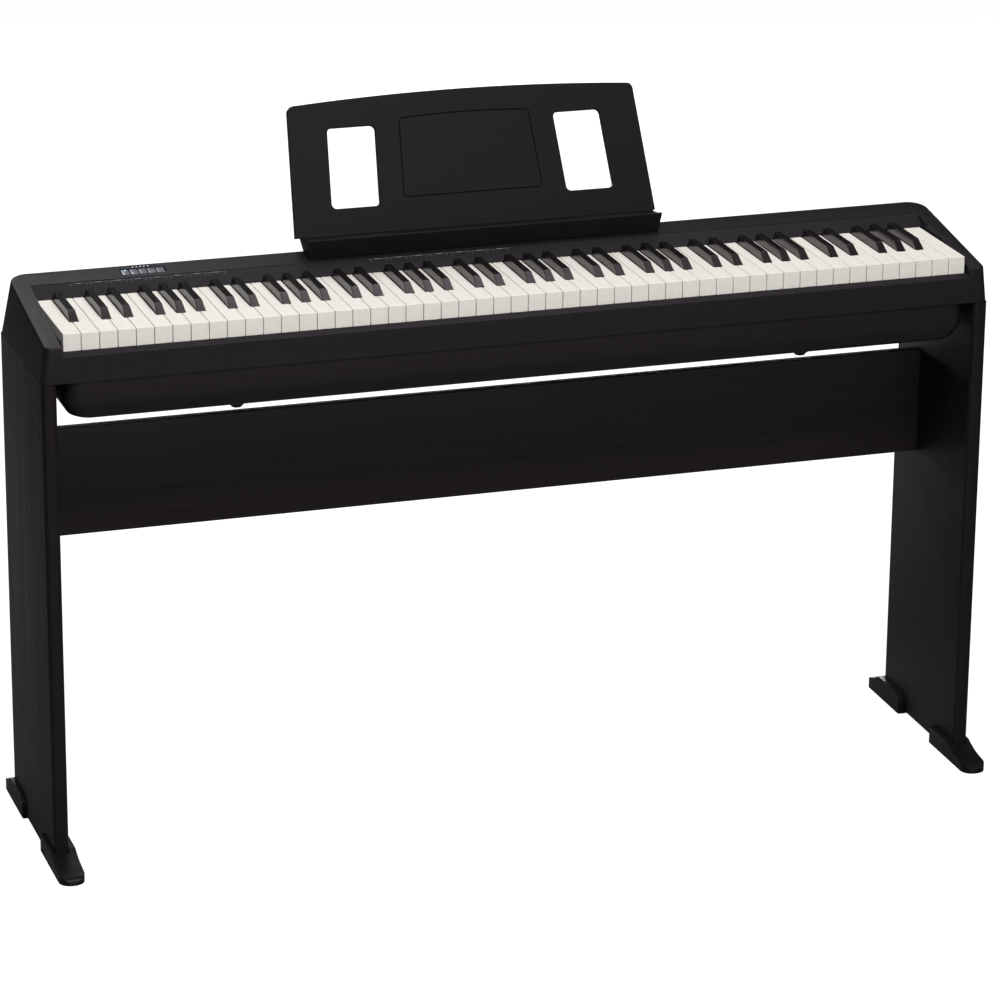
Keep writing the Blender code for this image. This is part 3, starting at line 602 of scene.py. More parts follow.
black_lacquer = moulding("black_lacquer", (0.012, 0.012, 0.012), (0.022, 0.021, 0.021), 0.36, 0.4, 0.6, 700,
                         0.00002, 2600, shift=0.1)


def plain_cad(node, material):
    """A CAD node that keeps its shape and gets a better finish."""
    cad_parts[node].data.materials.clear()
    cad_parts[node].data.materials.append(material)


def bracket(word, side):
    node = "corner_bracket_" + word
    low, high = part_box(node)
    plain_cad(node, black_lacquer)
    on_board = ((low.x + high.x) / 2, low.y + BRACKET_SHEET)
    on_panel = (side * (side_range(node)[1] - BRACKET_SHEET), (low.y + high.y) / 2 + BRACKET_SHEET)
    for k, height in enumerate((0.2, 0.5, 0.8)):
        z = low.z + (high.z - low.z) * height
        screw(f"bracket_board_screw_{word}_{k}", (*on_board, z), (0, 1, 0), BRACKET_SCREW_RADIUS)
        screw(f"bracket_panel_screw_{word}_{k}", (*on_panel, z), (-side, 0, 0), BRACKET_SCREW_RADIUS)


for word, side in SIDES:
    bracket(word, side)


# ---------------- lower case
# A shallow tray moulded in black plastic. It closes the instrument from below, holds the loudspeakers over
# slots in its floor, and carries the sockets in its rear wall. Screws underneath hold the two cases together.

WALL = 0.0025
CASE_GAP = 0.0003
SLOT_COUNT = 5
SLOT_PITCH = 0.014
SLOT_WIDTH = 0.005
FIRST_SLOT_BACK = 0.085
SLOT_HALF = 0.035
BED_POSTS = [(x, d) for x in (-0.56, 0.0, 0.56) for d in (0.045, 0.200)]
BOARD_POSTS = [(x, d) for x in (0.030, 0.195) for d in (0.165, 0.215)]
SOCKET_Z = 0.640
SOCKET_HOLES = {  # half widths and half heights
    "dc_inlet": (0.0050, 0.0050),
    "usb_socket": (0.0060, 0.0055),
    "phones_socket": (0.0045, 0.0045),
    "pedal_socket": (0.0062, 0.0062),
}
SCREW_COLUMNS = 6
SCREW_PITCH = 0.212

tray_low, tray_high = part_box("lower_case")
TRAY_KNEE_Z = tray_low.z + 0.0245
TRAY_CORNER = 0.022


def loft(name, rings):
    """An object whose skin joins rings of (x, back, z) points, capped at both ends."""
    bm = bmesh.new()
    made = [[bm.verts.new((x, back(d), z)) for x, d, z in ring] for ring in rings]
    count = len(made[0])
    for low, high in zip(made, made[1:]):
        for i in range(count):
            j = (i + 1) % count
            bm.faces.new((low[i], low[j], high[j], high[i]))
    bm.faces.new(made[0][::-1])
    bm.faces.new(made[-1])
    return shape(bm, name)


def tray_rings(inset, rim_z):
    """The tray's skin from the rim down to its rounded base, or the same skin set in by a wall."""
    half = tray_high.x - inset
    front = tray_low.y - key_front_y + inset
    rear = tray_high.y - key_front_y - inset
    radius = TRAY_CORNER - inset
    turn_under = smooth_line([
        (0.0, 0.0, 0.0, TRAY_KNEE_Z),
        (0.0018, 0.0014, 0.0006, tray_low.z + 0.0165 + inset),
        (0.005, 0.004, 0.002, tray_low.z + 0.010 + inset),
        (0.0095, 0.0065, 0.0038, tray_low.z + 0.0035 + inset),
        (0.016, 0.0095, 0.006, tray_low.z + inset),
    ], 3)
    rings = []
    for side_in, front_in, rear_in, z in [(0.0, 0.0, 0.0, rim_z)] + turn_under:
        x1 = half - side_in
        outline = rounded(-x1, front + front_in, x1, rear - rear_in, radius, radius)
        rings.append([(x, d, z) for x, d in outline])
    return rings


def speaker_slot(middle, distance):
    """Plan of a slot with round ends."""
    radius = SLOT_WIDTH / 2
    return (
        arc((middle + SLOT_HALF - radius, distance + radius), radius, 270, 180, 8)
        + arc((middle - SLOT_HALF + radius, distance + radius), radius, 90, 180, 8)
    )


def lower_case():
    tray = loft("lower_case_tray", tray_rings(0, tray_high.z))
    carve(tray, loft("hollow", tray_rings(WALL, tray_high.z + 0.01)))
    floor = tray_low.z + WALL / 2
    posts = []
    for places, radius, carried in ((BED_POSTS, 0.006, "key_bed"), (BOARD_POSTS, 0.004, "main_board")):
        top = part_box(carried)[0].z - CASE_GAP
        posts += [plan(arc(place, radius, 0, 345, 23), floor, top) for place in places]
    carve(tray, solid("posts", *posts), "UNION")
    slots = []
    for name in ("speaker_left", "speaker_right"):
        middle = sum(c.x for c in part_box(name)) / 2
        slots += [speaker_slot(middle, FIRST_SLOT_BACK + SLOT_PITCH * k) for k in range(SLOT_COUNT)]
    carve(tray, solid("speaker_slots", *(plan(slot, tray_low.z - 0.01, floor + WALL) for slot in slots)))
    holes = []
    ends = (tray_high.y - 0.01, tray_high.y + 0.01)
    for name, (half, rise) in SOCKET_HOLES.items():
        middle = sum(c.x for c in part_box(name)) / 2
        hole = corners(middle - half, -rise, middle + half, rise)
        holes.append((hole, lambda p, y: (p[0], y, SOCKET_Z + p[1]), ends))
    carve(tray, solid("socket_holes", *holes))
    ease(tray, 0.0004, 2, 40, clamp=False)
    plastic = moulding("lower_case_plastic", (0.0100, 0.0080, 0.0096), (0.0150, 0.0124, 0.0145), 0.46, 0.22,
                       tint=(1, 0.88, 0.98))
    finish(tray, plastic, FIXED, "lower_case", "lower_case")


def underside_screws():
    for row, distance in enumerate((0.030, 0.212)):
        for k in range(SCREW_COLUMNS):
            seat = (SCREW_PITCH * (k - (SCREW_COLUMNS - 1) / 2), back(distance), tray_low.z + 0.0002)
            screw(f"underside_screw_{row}_{k}", seat, (0, 0, -1), 0.0036)


lower_case()
underside_screws()


# ---------------- rubber feet
# Four turned-looking rubber feet pressed into the tray's underside, for use without the stand.

rubber = moulding("foot_rubber", (0.010, 0.010, 0.010), (0.018, 0.018, 0.018), 0.85, 0.3, 0.5, 500, 0.00003)


def case_foot(node):
    low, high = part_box(node)
    height = high.z - low.z
    wide = (high.x - low.x) / 2
    profile = (
        [(0, height), (wide, height), (wide, height - 0.001)]
        + smooth_line([(wide - 0.0005, height - 0.0018), (wide - 0.0035, 0.0025), (wide - 0.0045, 0.0012)], 3)
        + [(wide - 0.0055, 0.0), (0.004, 0.0), (0.0032, 0.001), (0, 0.001)]
    )
    foot = turned(node + "_rubber", profile, 36)
    foot.location = ((low.x + high.x) / 2, (low.y + high.y) / 2, low.z)
    finish(foot, rubber, FIXED, "rubber", node)


for word, side in SIDES:
    case_foot("case_foot_front_" + word)
    case_foot("case_foot_rear_" + word)


# ---------------- loudspeakers, key bed and pivot rod
# Two full-range drivers face down over the slots. The key bed is a folded channel of zinc-plated sheet and
# the pivot rod a drawn steel bar; both keep their working shapes here and get their real finishes.

zinc_plate = moulding("zinc_plate", (0.52, 0.53, 0.55), (0.36, 0.37, 0.39), 0.36, 0.5, 0.7, 55, 0.00002, 900,
                      shift=0.14, extra={"Metallic": 1.0})
drawn_steel = streaked("drawn_steel", (0.60, 0.60, 0.61), (0.45, 0.45, 0.46), (0.02, 1, 1), 1500, 0.25, 0.10,
                       0.00001, {"Metallic": 1.0})
speaker_lacquer = moulding("speaker_lacquer", (0.014, 0.014, 0.015), (0.030, 0.029, 0.029), 0.55, 0.35, 0.5,
                           800, 0.00003, 2400, shift=0.1)

plain_cad("key_bed", zinc_plate)
plain_cad("pivot_rod", drawn_steel)
for word, side in SIDES:
    plain_cad("speaker_" + word, speaker_lacquer)


# ---------------- felt strip
# A strip of red woven felt glued along the bed's front flange. The keys land on it when they are played.

FELT_SEAT_Z = 0.6805
FELT_THICK = 0.0032
FELT_WIDTH = 0.020
FELT_ROUND = 0.0009


def felt_strip():
    low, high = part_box("key_bed")
    front = low.y - key_front_y
    rear = front + FELT_WIDTH
    round_z = FELT_SEAT_Z + FELT_THICK - FELT_ROUND
    profile = (
        [(front, FELT_SEAT_Z), (rear, FELT_SEAT_Z)]
        + arc((rear - FELT_ROUND, round_z), FELT_ROUND, 0, 90, 4)
        + arc((front + FELT_ROUND, round_z), FELT_ROUND, 90, 90, 4)
    )
    strip = solid("felt_strip", side_view(profile, low.x + 0.002, high.x - 0.002))
    felt = moulding("felt", (0.16, 0.012, 0.014), (0.28, 0.035, 0.035), 0.95, 0.2, 0.8, 1400, 0.0003, 3500,
                    shift=0.04, extra={"Sheen Weight": 0.6, "Sheen Roughness": 0.5})
    finish(strip, felt, FIXED, "rubber")


felt_strip()


# ---------------- circuit boards and sockets
# Glass-epoxy boards with green solder mask and copper tracks under it, and black moulded sockets at the rear.


def make_track_pattern():
    """Copper tracks under solder mask, with pale dots where parts are soldered."""
    group, given, result = node_group("track_pattern", {
        "Color": (0.01, 0.10, 0.04, 1),
        "Track Color": (0.03, 0.20, 0.08, 1),
        "Solder Color": (0.5, 0.5, 0.5, 1),
        "Track Scale": 180,
        "Roughness": 0.35,
    })
    cells = wired(group, "TexVoronoi", "Distance", {"Vector": own_place(group), "Scale": given["Track Scale"]},
                  distance="MANHATTAN")
    tracks = spread(group, cells, 0.42, 0.47)
    dots = spread(group, cells, 0.16, 0.12)
    masked = blend_colours(group, tracks, given["Color"], given["Track Color"])
    group.links.new(blend_colours(group, dots, masked, given["Solder Color"]), result["Color"])
    smoother = maths(group, "MULTIPLY", dots, 0.1)
    group.links.new(maths(group, "SUBTRACT", given["Roughness"], smoother), result["Roughness"])
    group.links.new(maths(group, "ADD", tracks, dots), result["Height"])
    return group


board_mask = surface("board_mask", make_track_pattern(), {}, 0.00005, {"Specular IOR Level": 0.5})
socket_plastic = moulding("socket_plastic", (0.012, 0.012, 0.013), (0.020, 0.020, 0.021), 0.35, 0.4)

for node in ("main_board", "switch_board"):
    plain_cad(node, board_mask)
for node in SOCKET_HOLES:
    plain_cad(node, socket_plastic)


# ---------------- white keys
# 52 keys moulded in off-white plastic with a finely striated, ivory-like playing face. Each has a front lip,
# a head, a tail cut away beside the black keys, and a notch that rests on the pivot rod.

WHITE_COUNT = 52
KEY_SPACE = 0.0009
WHITE_VISIBLE = 0.150
WHITE_HEAD = 0.0475
KEY_BODY_DROP = 0.0142  # from the playing face to the underside
TAIL_DROP = 0.0072
BLACK_CUT = 0.0064  # half of the room that a white key leaves for a black one
BLACK_SHIFT = {"A": 0.0026, "C": -0.0026, "D": 0.0026, "F": -0.0029, "G": 0.0}
INNER_CORNER = 0.0016
PIVOT_NOTCH = 0.0024
LEG_DROP = 0.006
KEY_ROUND = 0.0007

c4_low, c4_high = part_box("white_key_C4")
white_pitch = c4_high.x - c4_low.x + KEY_SPACE
key_top_z = c4_high.z
body_z = key_top_z - KEY_BODY_DROP
rod_low, rod_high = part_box("pivot_rod")
pivot_back = (rod_low.y + rod_high.y) / 2 - key_front_y
pivot_z = (rod_low.z + rod_high.z) / 2
leg_z = pivot_z - LEG_DROP
key_tail = c4_high.y - key_front_y
keyboard_half = WHITE_COUNT * white_pitch / 2
# The open notch under a key's tail that sits over the pivot rod, with its legs, from the rear to the front.
notch = arc((pivot_back, pivot_z), PIVOT_NOTCH, 0, 180, 8)
notch = [(notch[0][0], leg_z)] + notch + [(notch[-1][0], leg_z)]

ivory_plastic = streaked(
    "ivory_plastic", (0.90, 0.875, 0.815), (0.845, 0.81, 0.74), (1, 0.05, 1), 900, 0.40, 0.08, 0.00002,
    {"Specular IOR Level": 0.45, "Subsurface Weight": 0.08, "Subsurface Radius": (0.004, 0.003, 0.002),
     "Subsurface Scale": 0.4},
)


def white_letter(index):
    return "ABCDEFG"[index % 7]


def key_name(index):
    """Note name of a white key, such as C4."""
    return f"{white_letter(index)}{(index + 5) // 7}"


def white_left(index):
    return -keyboard_half + index * white_pitch


def has_sharp(index):
    return 0 <= index < WHITE_COUNT - 1 and white_letter(index) in BLACK_SHIFT


def black_x(index):
    """Middle of the black key to the right of a white key."""
    return white_left(index + 1) + BLACK_SHIFT[white_letter(index)]


def key_body(colour, index, single):
    """The body that a key rides on: its own, or the bank on its side of the single keys."""
    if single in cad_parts:
        return single
    return f"{colour}_keys_low" if index < WHITE_COUNT // 2 else f"{colour}_keys_high"


def white_side():
    """Side view: front lip, thin body, lowered tail with its notch."""
    tail_z = key_top_z - TAIL_DROP
    return (
        [(0, c4_low.z), (0, key_top_z), (pivot_back - 0.017, key_top_z), (pivot_back - 0.015, tail_z)]
        + [(key_tail, tail_z), (key_tail, leg_z)] + notch
        + [(pivot_back - 0.012, leg_z), (pivot_back - 0.021, body_z), (0.010, body_z), (0.008, c4_low.z)]
    )


def white_plan(index):
    """Plan of a key, cut back with round inner corners beside its black neighbours."""
    left = white_left(index) + KEY_SPACE / 2
    right = white_left(index + 1) - KEY_SPACE / 2
    tail_left = black_x(index - 1) + BLACK_CUT if has_sharp(index - 1) else left
    tail_right = black_x(index) - BLACK_CUT if has_sharp(index) else right
    end = key_tail + 0.001
    round_back = WHITE_HEAD + INNER_CORNER
    points = [(left, -0.001), (right, -0.001)]
    if tail_right < right:
        points += [(right, WHITE_HEAD)]
        points += arc((tail_right + INNER_CORNER, round_back), INNER_CORNER, 270, -90, 4)
    points += [(tail_right, end), (tail_left, end)]
    if tail_left > left:
        points += arc((tail_left - INNER_CORNER, round_back), INNER_CORNER, 0, -90, 4)
        points += [(left, WHITE_HEAD)]
    return points


def white_key(index):
    key = solid("key_" + key_name(index), plan(white_plan(index), 0.68, 0.73))
    side = side_view(white_side(), white_left(index) - 0.01, white_left(index + 1) + 0.01)
    carve(key, solid("key_side", side), "INTERSECT")
    ease(key, KEY_ROUND, 3, 50)
    body = key_body("white", index, "white_key_" + key_name(index))
    finish(key, ivory_plastic, body, "white_keys", body)


for index in range(WHITE_COUNT):
    white_key(index)


# ---------------- black keys
# 36 keys moulded in black plastic with a matt, slightly mottled face like worn ebony. Their sides draw in
# towards the top and their fronts slope back to it.

BLACK_FRONT = 0.0485
BLACK_SLOPE = 0.0165
BLACK_BACK = 0.1483
BLACK_NARROWING = 0.80  # width of the top over the width of the foot
BLACK_ROUND = 0.0007
BROW_ROUND = 0.0034
BLACK_TAIL_DROP = 0.0032

black_low, black_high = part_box("black_key_C4_sharp")
black_width = black_high.x - black_low.x
black_top_z = black_high.z
ebony_plastic = moulding("ebony_plastic", (0.0060, 0.0046, 0.0054), (0.0130, 0.0100, 0.0105), 0.24, 0.50, 0.4,
                         700, 0.000006, 1500, (1, 0.90, 0.97))


def round_corner(before, corner, after, radius, steps=5):
    """Replaces one corner of an outline by an arc that touches both of its sides."""
    corner = Vector(corner)
    to_before = (Vector(before) - corner).normalized()
    to_after = (Vector(after) - corner).normalized()
    half = to_before.angle(to_after) / 2
    centre = corner + (to_before + to_after).normalized() * radius / math.sin(half)
    first = corner + to_before * radius / math.tan(half) - centre
    last = corner + to_after * radius / math.tan(half) - centre
    return [tuple(centre + first.lerp(last, k / steps).normalized() * radius) for k in range(steps + 1)]


def black_side():
    """Side view: upright foot of the front, slope, rounded brow, level top, and the hidden tail."""
    tail_z = key_top_z - BLACK_TAIL_DROP
    foot = (BLACK_FRONT, key_top_z + 0.0004)
    brow = round_corner(foot, (BLACK_FRONT + BLACK_SLOPE, black_top_z), (BLACK_BACK, black_top_z), BROW_ROUND)
    return (
        [(BLACK_FRONT, body_z), foot]
        + brow
        + [(BLACK_BACK, black_top_z), (BLACK_BACK, tail_z), (key_tail, tail_z), (key_tail, body_z)]
        + [(pivot_back + 0.0045, body_z), (pivot_back + 0.0045, leg_z)]
        + notch
        + [(pivot_back - 0.009, leg_z), (pivot_back - 0.015, body_z)]
    )


def black_key(index):
    middle = black_x(index)

    def drawn_in(p, x):
        """Places a point of the side view, nearer to the key's middle the higher it is."""
        height = max(0, (p[1] - key_top_z) / (black_top_z - key_top_z))
        return (middle + (1 - (1 - BLACK_NARROWING) * height) * (x - middle), back(p[0]), p[1])

    ends = (middle - black_width / 2, middle + black_width / 2)
    key = solid(f"key_{key_name(index)}_sharp", (black_side(), drawn_in, ends))
    ease(key, BLACK_ROUND, 4, 50)
    body = key_body("black", index, f"black_key_{key_name(index)}_sharp")
    finish(key, ebony_plastic, body, "black_keys", body)


for index in range(WHITE_COUNT):
    if has_sharp(index):
        black_key(index)


# ---------------- upper case
# One large moulding: sloping top panel, end blocks beside the keys, a narrow front strip and the rear wall.
# Its corners are rounded in the mould. The openings are for the buttons, the lights and the rest's two tabs.

CASE_TOP_HALF = 0.6365
TOP_FRONT_Z = 0.703
TOP_BACK = 0.2078
FASCIA_FOOT_Z = 0.7184
FASCIA_BACK = 0.1705
FOLD_ROUND = 0.0016
STRIP_Z = 0.6949
STRIP_FRONT_Z = 0.690
STRIP_BACK = -0.0012
WELL_HALF = 0.614
REAR_WALL = 0.0033

case_low, case_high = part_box("upper_case")
case_front, case_back = depth_range("upper_case")
seam_z = case_low.z
top_slope = (case_high.z - TOP_FRONT_Z) / (TOP_BACK - 0.001 - case_front)
top_tilt = math.atan(top_slope)


def top_plane(distance):
    """Height of the top panel's plane this far back."""
    return TOP_FRONT_Z + top_slope * (distance - case_front)


def top_point(x, distance, rise):
    """A point over the top panel, with its rise measured square to the panel."""
    return (x, back(distance) - rise * math.sin(top_tilt), top_plane(distance) + rise * math.cos(top_tilt))


def well_side():
    """Side view of the room inside: open above the keys, closed by the top panel behind them."""
    front = case_front + WALL
    strip_slope = (STRIP_Z - STRIP_FRONT_Z) / (STRIP_BACK - case_front)
    fold = (FASCIA_BACK, top_plane(FASCIA_BACK))
    foot = (WHITE_VISIBLE, FASCIA_FOOT_Z)
    fascia_slope = (fold[1] - foot[1]) / (fold[0] - foot[0])
    clear_z = case_high.z + 0.03
    outside = case_front - 0.01
    under_z = top_plane(0) - WALL
    foot_back = WHITE_VISIBLE + 0.0046
    under_fold = (under_z - FASCIA_FOOT_Z + fascia_slope * foot_back) / (fascia_slope - top_slope)
    rear_slope = (case_back - TOP_BACK) / (case_high.z - seam_z)
    rear_back = TOP_BACK - REAR_WALL + rear_slope * WALL
    rounded_fold = round_corner((FASCIA_BACK + 0.01, top_plane(FASCIA_BACK + 0.01)), fold, foot, FOLD_ROUND)
    return (
        [(front, seam_z - 0.01), (front, STRIP_FRONT_Z + strip_slope * WALL - WALL)]
        + [(STRIP_BACK, STRIP_Z - WALL), (STRIP_BACK, STRIP_Z)]
        + [(outside, STRIP_Z - strip_slope * (STRIP_BACK - outside)), (outside, clear_z)]
        + [(rounded_fold[0][0], clear_z)] + rounded_fold
        + [foot, (foot_back, FASCIA_FOOT_Z), (under_fold, under_z + top_slope * under_fold)]
        + [(rear_back, top_plane(rear_back) - WALL), (case_back - REAR_WALL, seam_z)]
        + [(case_back - REAR_WALL, seam_z - 0.01)]
    )


def patch(middle_x, middle_back, half_width, half_depth, radius, low, high):
    """A small rounded patch on the top panel, stretched square to the panel between two rises."""
    outline = rounded(-half_width, -half_depth, half_width, half_depth, radius, radius, 5, 5)
    squash = math.cos(top_tilt)

    def place(p, rise):
        return top_point(middle_x + p[0], middle_back + p[1] * squash, rise)

    return outline, place, (low, high)


BUTTON_DEPTH = 0.0154
BUTTON_ROOM = 0.0006
BUTTON_BACK = 0.1895
LIGHTS_BACK = 0.2015
LIGHTS_HALF_DEPTH = 0.0012
REST_LEAN = math.radians(25)
REST_TAB_BACK = 0.1905
REST_TAB_X = 0.125
REST_TAB_WIDTH = 0.110
REST_TAB_THICK = 0.0034

power_low, power_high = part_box("power_button")
button_width = power_high.x - power_low.x
buttons_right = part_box("button_5")[1].x
lights_low, lights_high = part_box("indicator_bar")
lights_x = (lights_low.x + lights_high.x) / 2
lights_half = (lights_high.x - lights_low.x) / 2


def tabs(room, reach):
    """The two tabs of the music rest, or the slots for them, along the rest's lean."""
    up = Vector((0, math.sin(REST_LEAN), math.cos(REST_LEAN)))
    across = Vector((0, math.cos(REST_LEAN), -math.sin(REST_LEAN)))
    half_width, half_thick = REST_TAB_WIDTH / 2 + room, REST_TAB_THICK / 2 + room
    outline = rounded(-half_width, -half_thick, half_width, half_thick, 0.0010, 0.0010, 5, 5)

    def tab(side):
        middle = Vector((side * REST_TAB_X, back(REST_TAB_BACK), top_plane(REST_TAB_BACK)))
        place = lambda p, far: middle + Vector((p[0], 0, 0)) + across * p[1] + up * far
        return outline, place, (-reach, reach)

    return [tab(side) for word, side in SIDES]


def upper_case():
    foot = rounded(-case_high.x, case_front, case_high.x, case_back, 0.010, 0.025)
    rings = [[(x, d, seam_z) for x, d in foot]]
    for angle in (0, 22.5, 45, 67.5, 90):
        turn = math.radians(angle)
        inset = 0.002 * (1 - math.cos(turn))
        drop = 0.0022 * (1 - math.sin(turn))
        half = CASE_TOP_HALF - inset
        top_view = rounded(-half, case_front + 0.0004 + 0.9 * inset, half, TOP_BACK + 0.001 - inset,
                           0.009 - inset / 2, 0.024 - inset / 2)
        rings.append([(x, d, top_plane(d) - drop) for x, d in top_view])
    case = loft("upper_case_moulding", rings)
    carve(case, solid("key_well", side_view(well_side(), -WELL_HALF, WELL_HALF)))
    buttons_x = (power_low.x + buttons_right) / 2
    buttons_half = (buttons_right - power_low.x) / 2 + 0.0012
    buttons_deep, lights_deep = BUTTON_DEPTH / 2 + BUTTON_ROOM, LIGHTS_HALF_DEPTH + CASE_GAP
    carve(case, solid(
        "openings",
        *tabs(0.0004, 0.015),
        patch(buttons_x, BUTTON_BACK, buttons_half, buttons_deep, 0.0016, -0.01, 0.01),
        patch(lights_x, LIGHTS_BACK, lights_half + CASE_GAP, lights_deep, 0.0010, -0.01, 0.01),
    ))
    ease(case, 0.0005, 2, 32, clamp=False)
    plastic = moulding("case_plastic", (0.0116, 0.0097, 0.0118), (0.0156, 0.0134, 0.0158), 0.46, 0.18, 0.4,
                       120, 0.000012, tint=(1, 0.91, 1))
    finish(case, plastic, FIXED, "case", "upper_case")


upper_case()


# ---------------- printed legends
# Thin grey ink along the fold of the fascia: a hair line with short bars and ticks, where the real instrument
# names its functions and the keys that set them. The marks are plain and say nothing.

INK_THICK = 0.00004
HAIR_LINE = (0.085, 0.097)  # these are shares of the way down the fascia
BAR = (0.072, 0.110)
TICK = (0.175, 0.235)
BAR_SHARE = 0.34
BAR_GAP = 0.0012
TICK_WIDTH = 0.0008

grey_ink = moulding("grey_ink", (0.22, 0.22, 0.235), (0.16, 0.16, 0.17), 0.55, 0.3, 0.5, 900)


def fascia_point(x, down, rise):
    """A point over the fascia: down is 0 at the fold and 1 at the foot."""
    fold = Vector((FASCIA_BACK, top_plane(FASCIA_BACK)))
    foot = Vector((WHITE_VISIBLE, FASCIA_FOOT_Z))
    at = fold.lerp(foot, down)
    slope = (fold - foot).normalized()
    return (x, back(at.x - slope.y * rise), at.y + slope.x * rise)


def fascia_mark(x0, x1, down):
    return (corners(x0, down[0], x1, down[1]), lambda p, rise: fascia_point(*p, rise),
            (INK_THICK * 0.25, INK_THICK * 1.25))


def fascia_legend(name, x0, x1, groups):
    """A hair line along the fold with short bars let into it, and two ticks under each bar."""
    pitch = (x1 - x0) / groups
    half_bar = BAR_SHARE * pitch * 0.5
    marks = []
    for k in range(groups):
        left = x0 + pitch * k
        middle = left + pitch * 0.5
        marks += [
            fascia_mark(left, middle - half_bar - BAR_GAP, HAIR_LINE),
            fascia_mark(middle - half_bar, middle + half_bar, BAR),
            fascia_mark(middle + half_bar + BAR_GAP, left + pitch, HAIR_LINE),
        ]
        for tick in (left + pitch * 0.12, left + pitch * 0.88):
            marks.append(fascia_mark(tick, tick + TICK_WIDTH, TICK))
    finish(solid(name, *marks), grey_ink, FIXED, "case")


fascia_legend("legend_left", -0.565, -0.356, 8)
fascia_legend("legend_middle", -0.166, 0.030, 7)


# ---------------- music rest
# One black moulding: a leaning panel with two windows and a grooved field between them, a ledge with a lip
# that holds the pages, and a foot whose two tabs plug into slots in the top panel.

REST_BASE = (0.213, 0.754)  # back and z of the foot of its front face
REST_HALF = 0.2505
REST_TOP_HALF = 0.2405
REST_SIDE_LENGTH = 0.166
REST_CROWN_LENGTH = 0.1833
REST_THICK = 0.0045
REST_CORNER = 0.0085
RIB_PLACES = (-0.215, -0.108, -0.036, 0.036, 0.108, 0.215)
RIB_HALF = 0.0008
REST_LEDGE_HALF = 0.2447
FOOT_FRONT = 0.178
FOOT_REAR = 0.204
FOOT_LIFT = 0.0005
LIP_BACK = 0.1705
LIP_Z = 0.7613
LIP_ROUND = 0.0015
GROOVE_WIDTH = 0.0011
GROOVE_DEPTH = 0.0007
RIM_DEPTH = 0.0085
RIM_WALL = 0.0022


def rest_point(x, length, depth):
    """A point on the rest: x, length up its front face, and depth behind that face."""
    d = REST_BASE[0] + length * math.sin(REST_LEAN) + depth * math.cos(REST_LEAN)
    z = REST_BASE[1] + length * math.cos(REST_LEAN) - depth * math.sin(REST_LEAN)
    return (x, back(d), z)


def face_view(outline, front, rear):
    """A front view (x, length) stretched from one depth to another."""
    return outline, lambda p, depth: rest_point(*p, depth), (front, rear)


def crowned(half, edge, rise, steps):
    """A gently crowned line from right to left."""
    shares = [1 - 2 * k / steps for k in range(steps + 1)]
    return [(half * share, edge + rise * (1 - share ** 2)) for share in shares]


def rest_front_view(inset=0.0):
    """Sides that lean in a little, round top corners, gently crowned top edge; or the same set in."""
    rise = REST_CROWN_LENGTH - REST_SIDE_LENGTH - REST_CORNER
    crown = crowned(REST_TOP_HALF - inset, REST_SIDE_LENGTH + REST_CORNER - inset, rise, 24)
    base_right, base_left = (REST_HALF - inset, inset), (-REST_HALF + inset, inset)
    right = round_corner(base_right, crown[0], crown[1], REST_CORNER - inset, 6)
    left = round_corner(crown[-2], crown[-1], base_left, REST_CORNER - inset, 6)
    return [base_right] + right + crown[2:-2] + left + [base_left]


def windows(wall, front, rear):
    """The two upright windows, which spread a little downwards; or the same grown by a wall."""
    inner, outer, low, high = 0.1235 - wall, 0.190 + wall, 0.0345 - wall, 0.1425 + wall
    spread_down = 0.0065
    turns = [(outer + spread_down, low), (outer, high), (inner, high), (inner + spread_down, low)]
    outline = []
    for k, turn in enumerate(turns):
        outline += round_corner(turns[k - 1], turn, turns[(k + 1) % 4], 0.007 + wall, 6)
    return [face_view([(side * x, length) for x, length in outline], front, rear) for word, side in SIDES]


def field_view(inset):
    """The grooved field in the middle, wider at the foot, with a crowned top edge."""
    foot_half, top_half = 0.0970 - inset, 0.0905 - inset
    low, high, crown = 0.0428 + inset, 0.1495 - inset, 0.0028
    top = crowned(top_half, high, crown, 10)
    foot_right, foot_left = (foot_half, low), (-foot_half, low)
    radius = 0.006 - inset
    return (
        round_corner(foot_left, foot_right, top[0], radius)
        + round_corner(foot_right, top[0], top[1], radius)
        + top[1:-1]
        + round_corner(top[-2], top[-1], foot_left, radius)
        + round_corner(top[-1], foot_left, foot_right, radius)
    )


def ledge_side():
    """Side view of the ledge: rounded lip, hollow floor for the pages, wedge-shaped foot."""
    rear = rest_point(0, -0.002, REST_THICK * 0.9)
    rear_top = rest_point(0, 0.004, REST_THICK * 0.5)
    return (
        [(FOOT_FRONT, top_plane(FOOT_FRONT) + FOOT_LIFT)]
        + arc((LIP_BACK + LIP_ROUND, LIP_Z - LIP_ROUND), LIP_ROUND, 215, -170, 8)
        + [(LIP_BACK + 0.0044, LIP_Z - 0.0022), (LIP_BACK + 0.010, LIP_Z - 0.0030)]
        + [(REST_BASE[0] - 0.0015, REST_BASE[1])]
        + [(rear_top[1] - key_front_y, rear_top[2]), (rear[1] - key_front_y, rear[2])]
        + [(FOOT_REAR, top_plane(FOOT_REAR) + FOOT_LIFT)]
    )


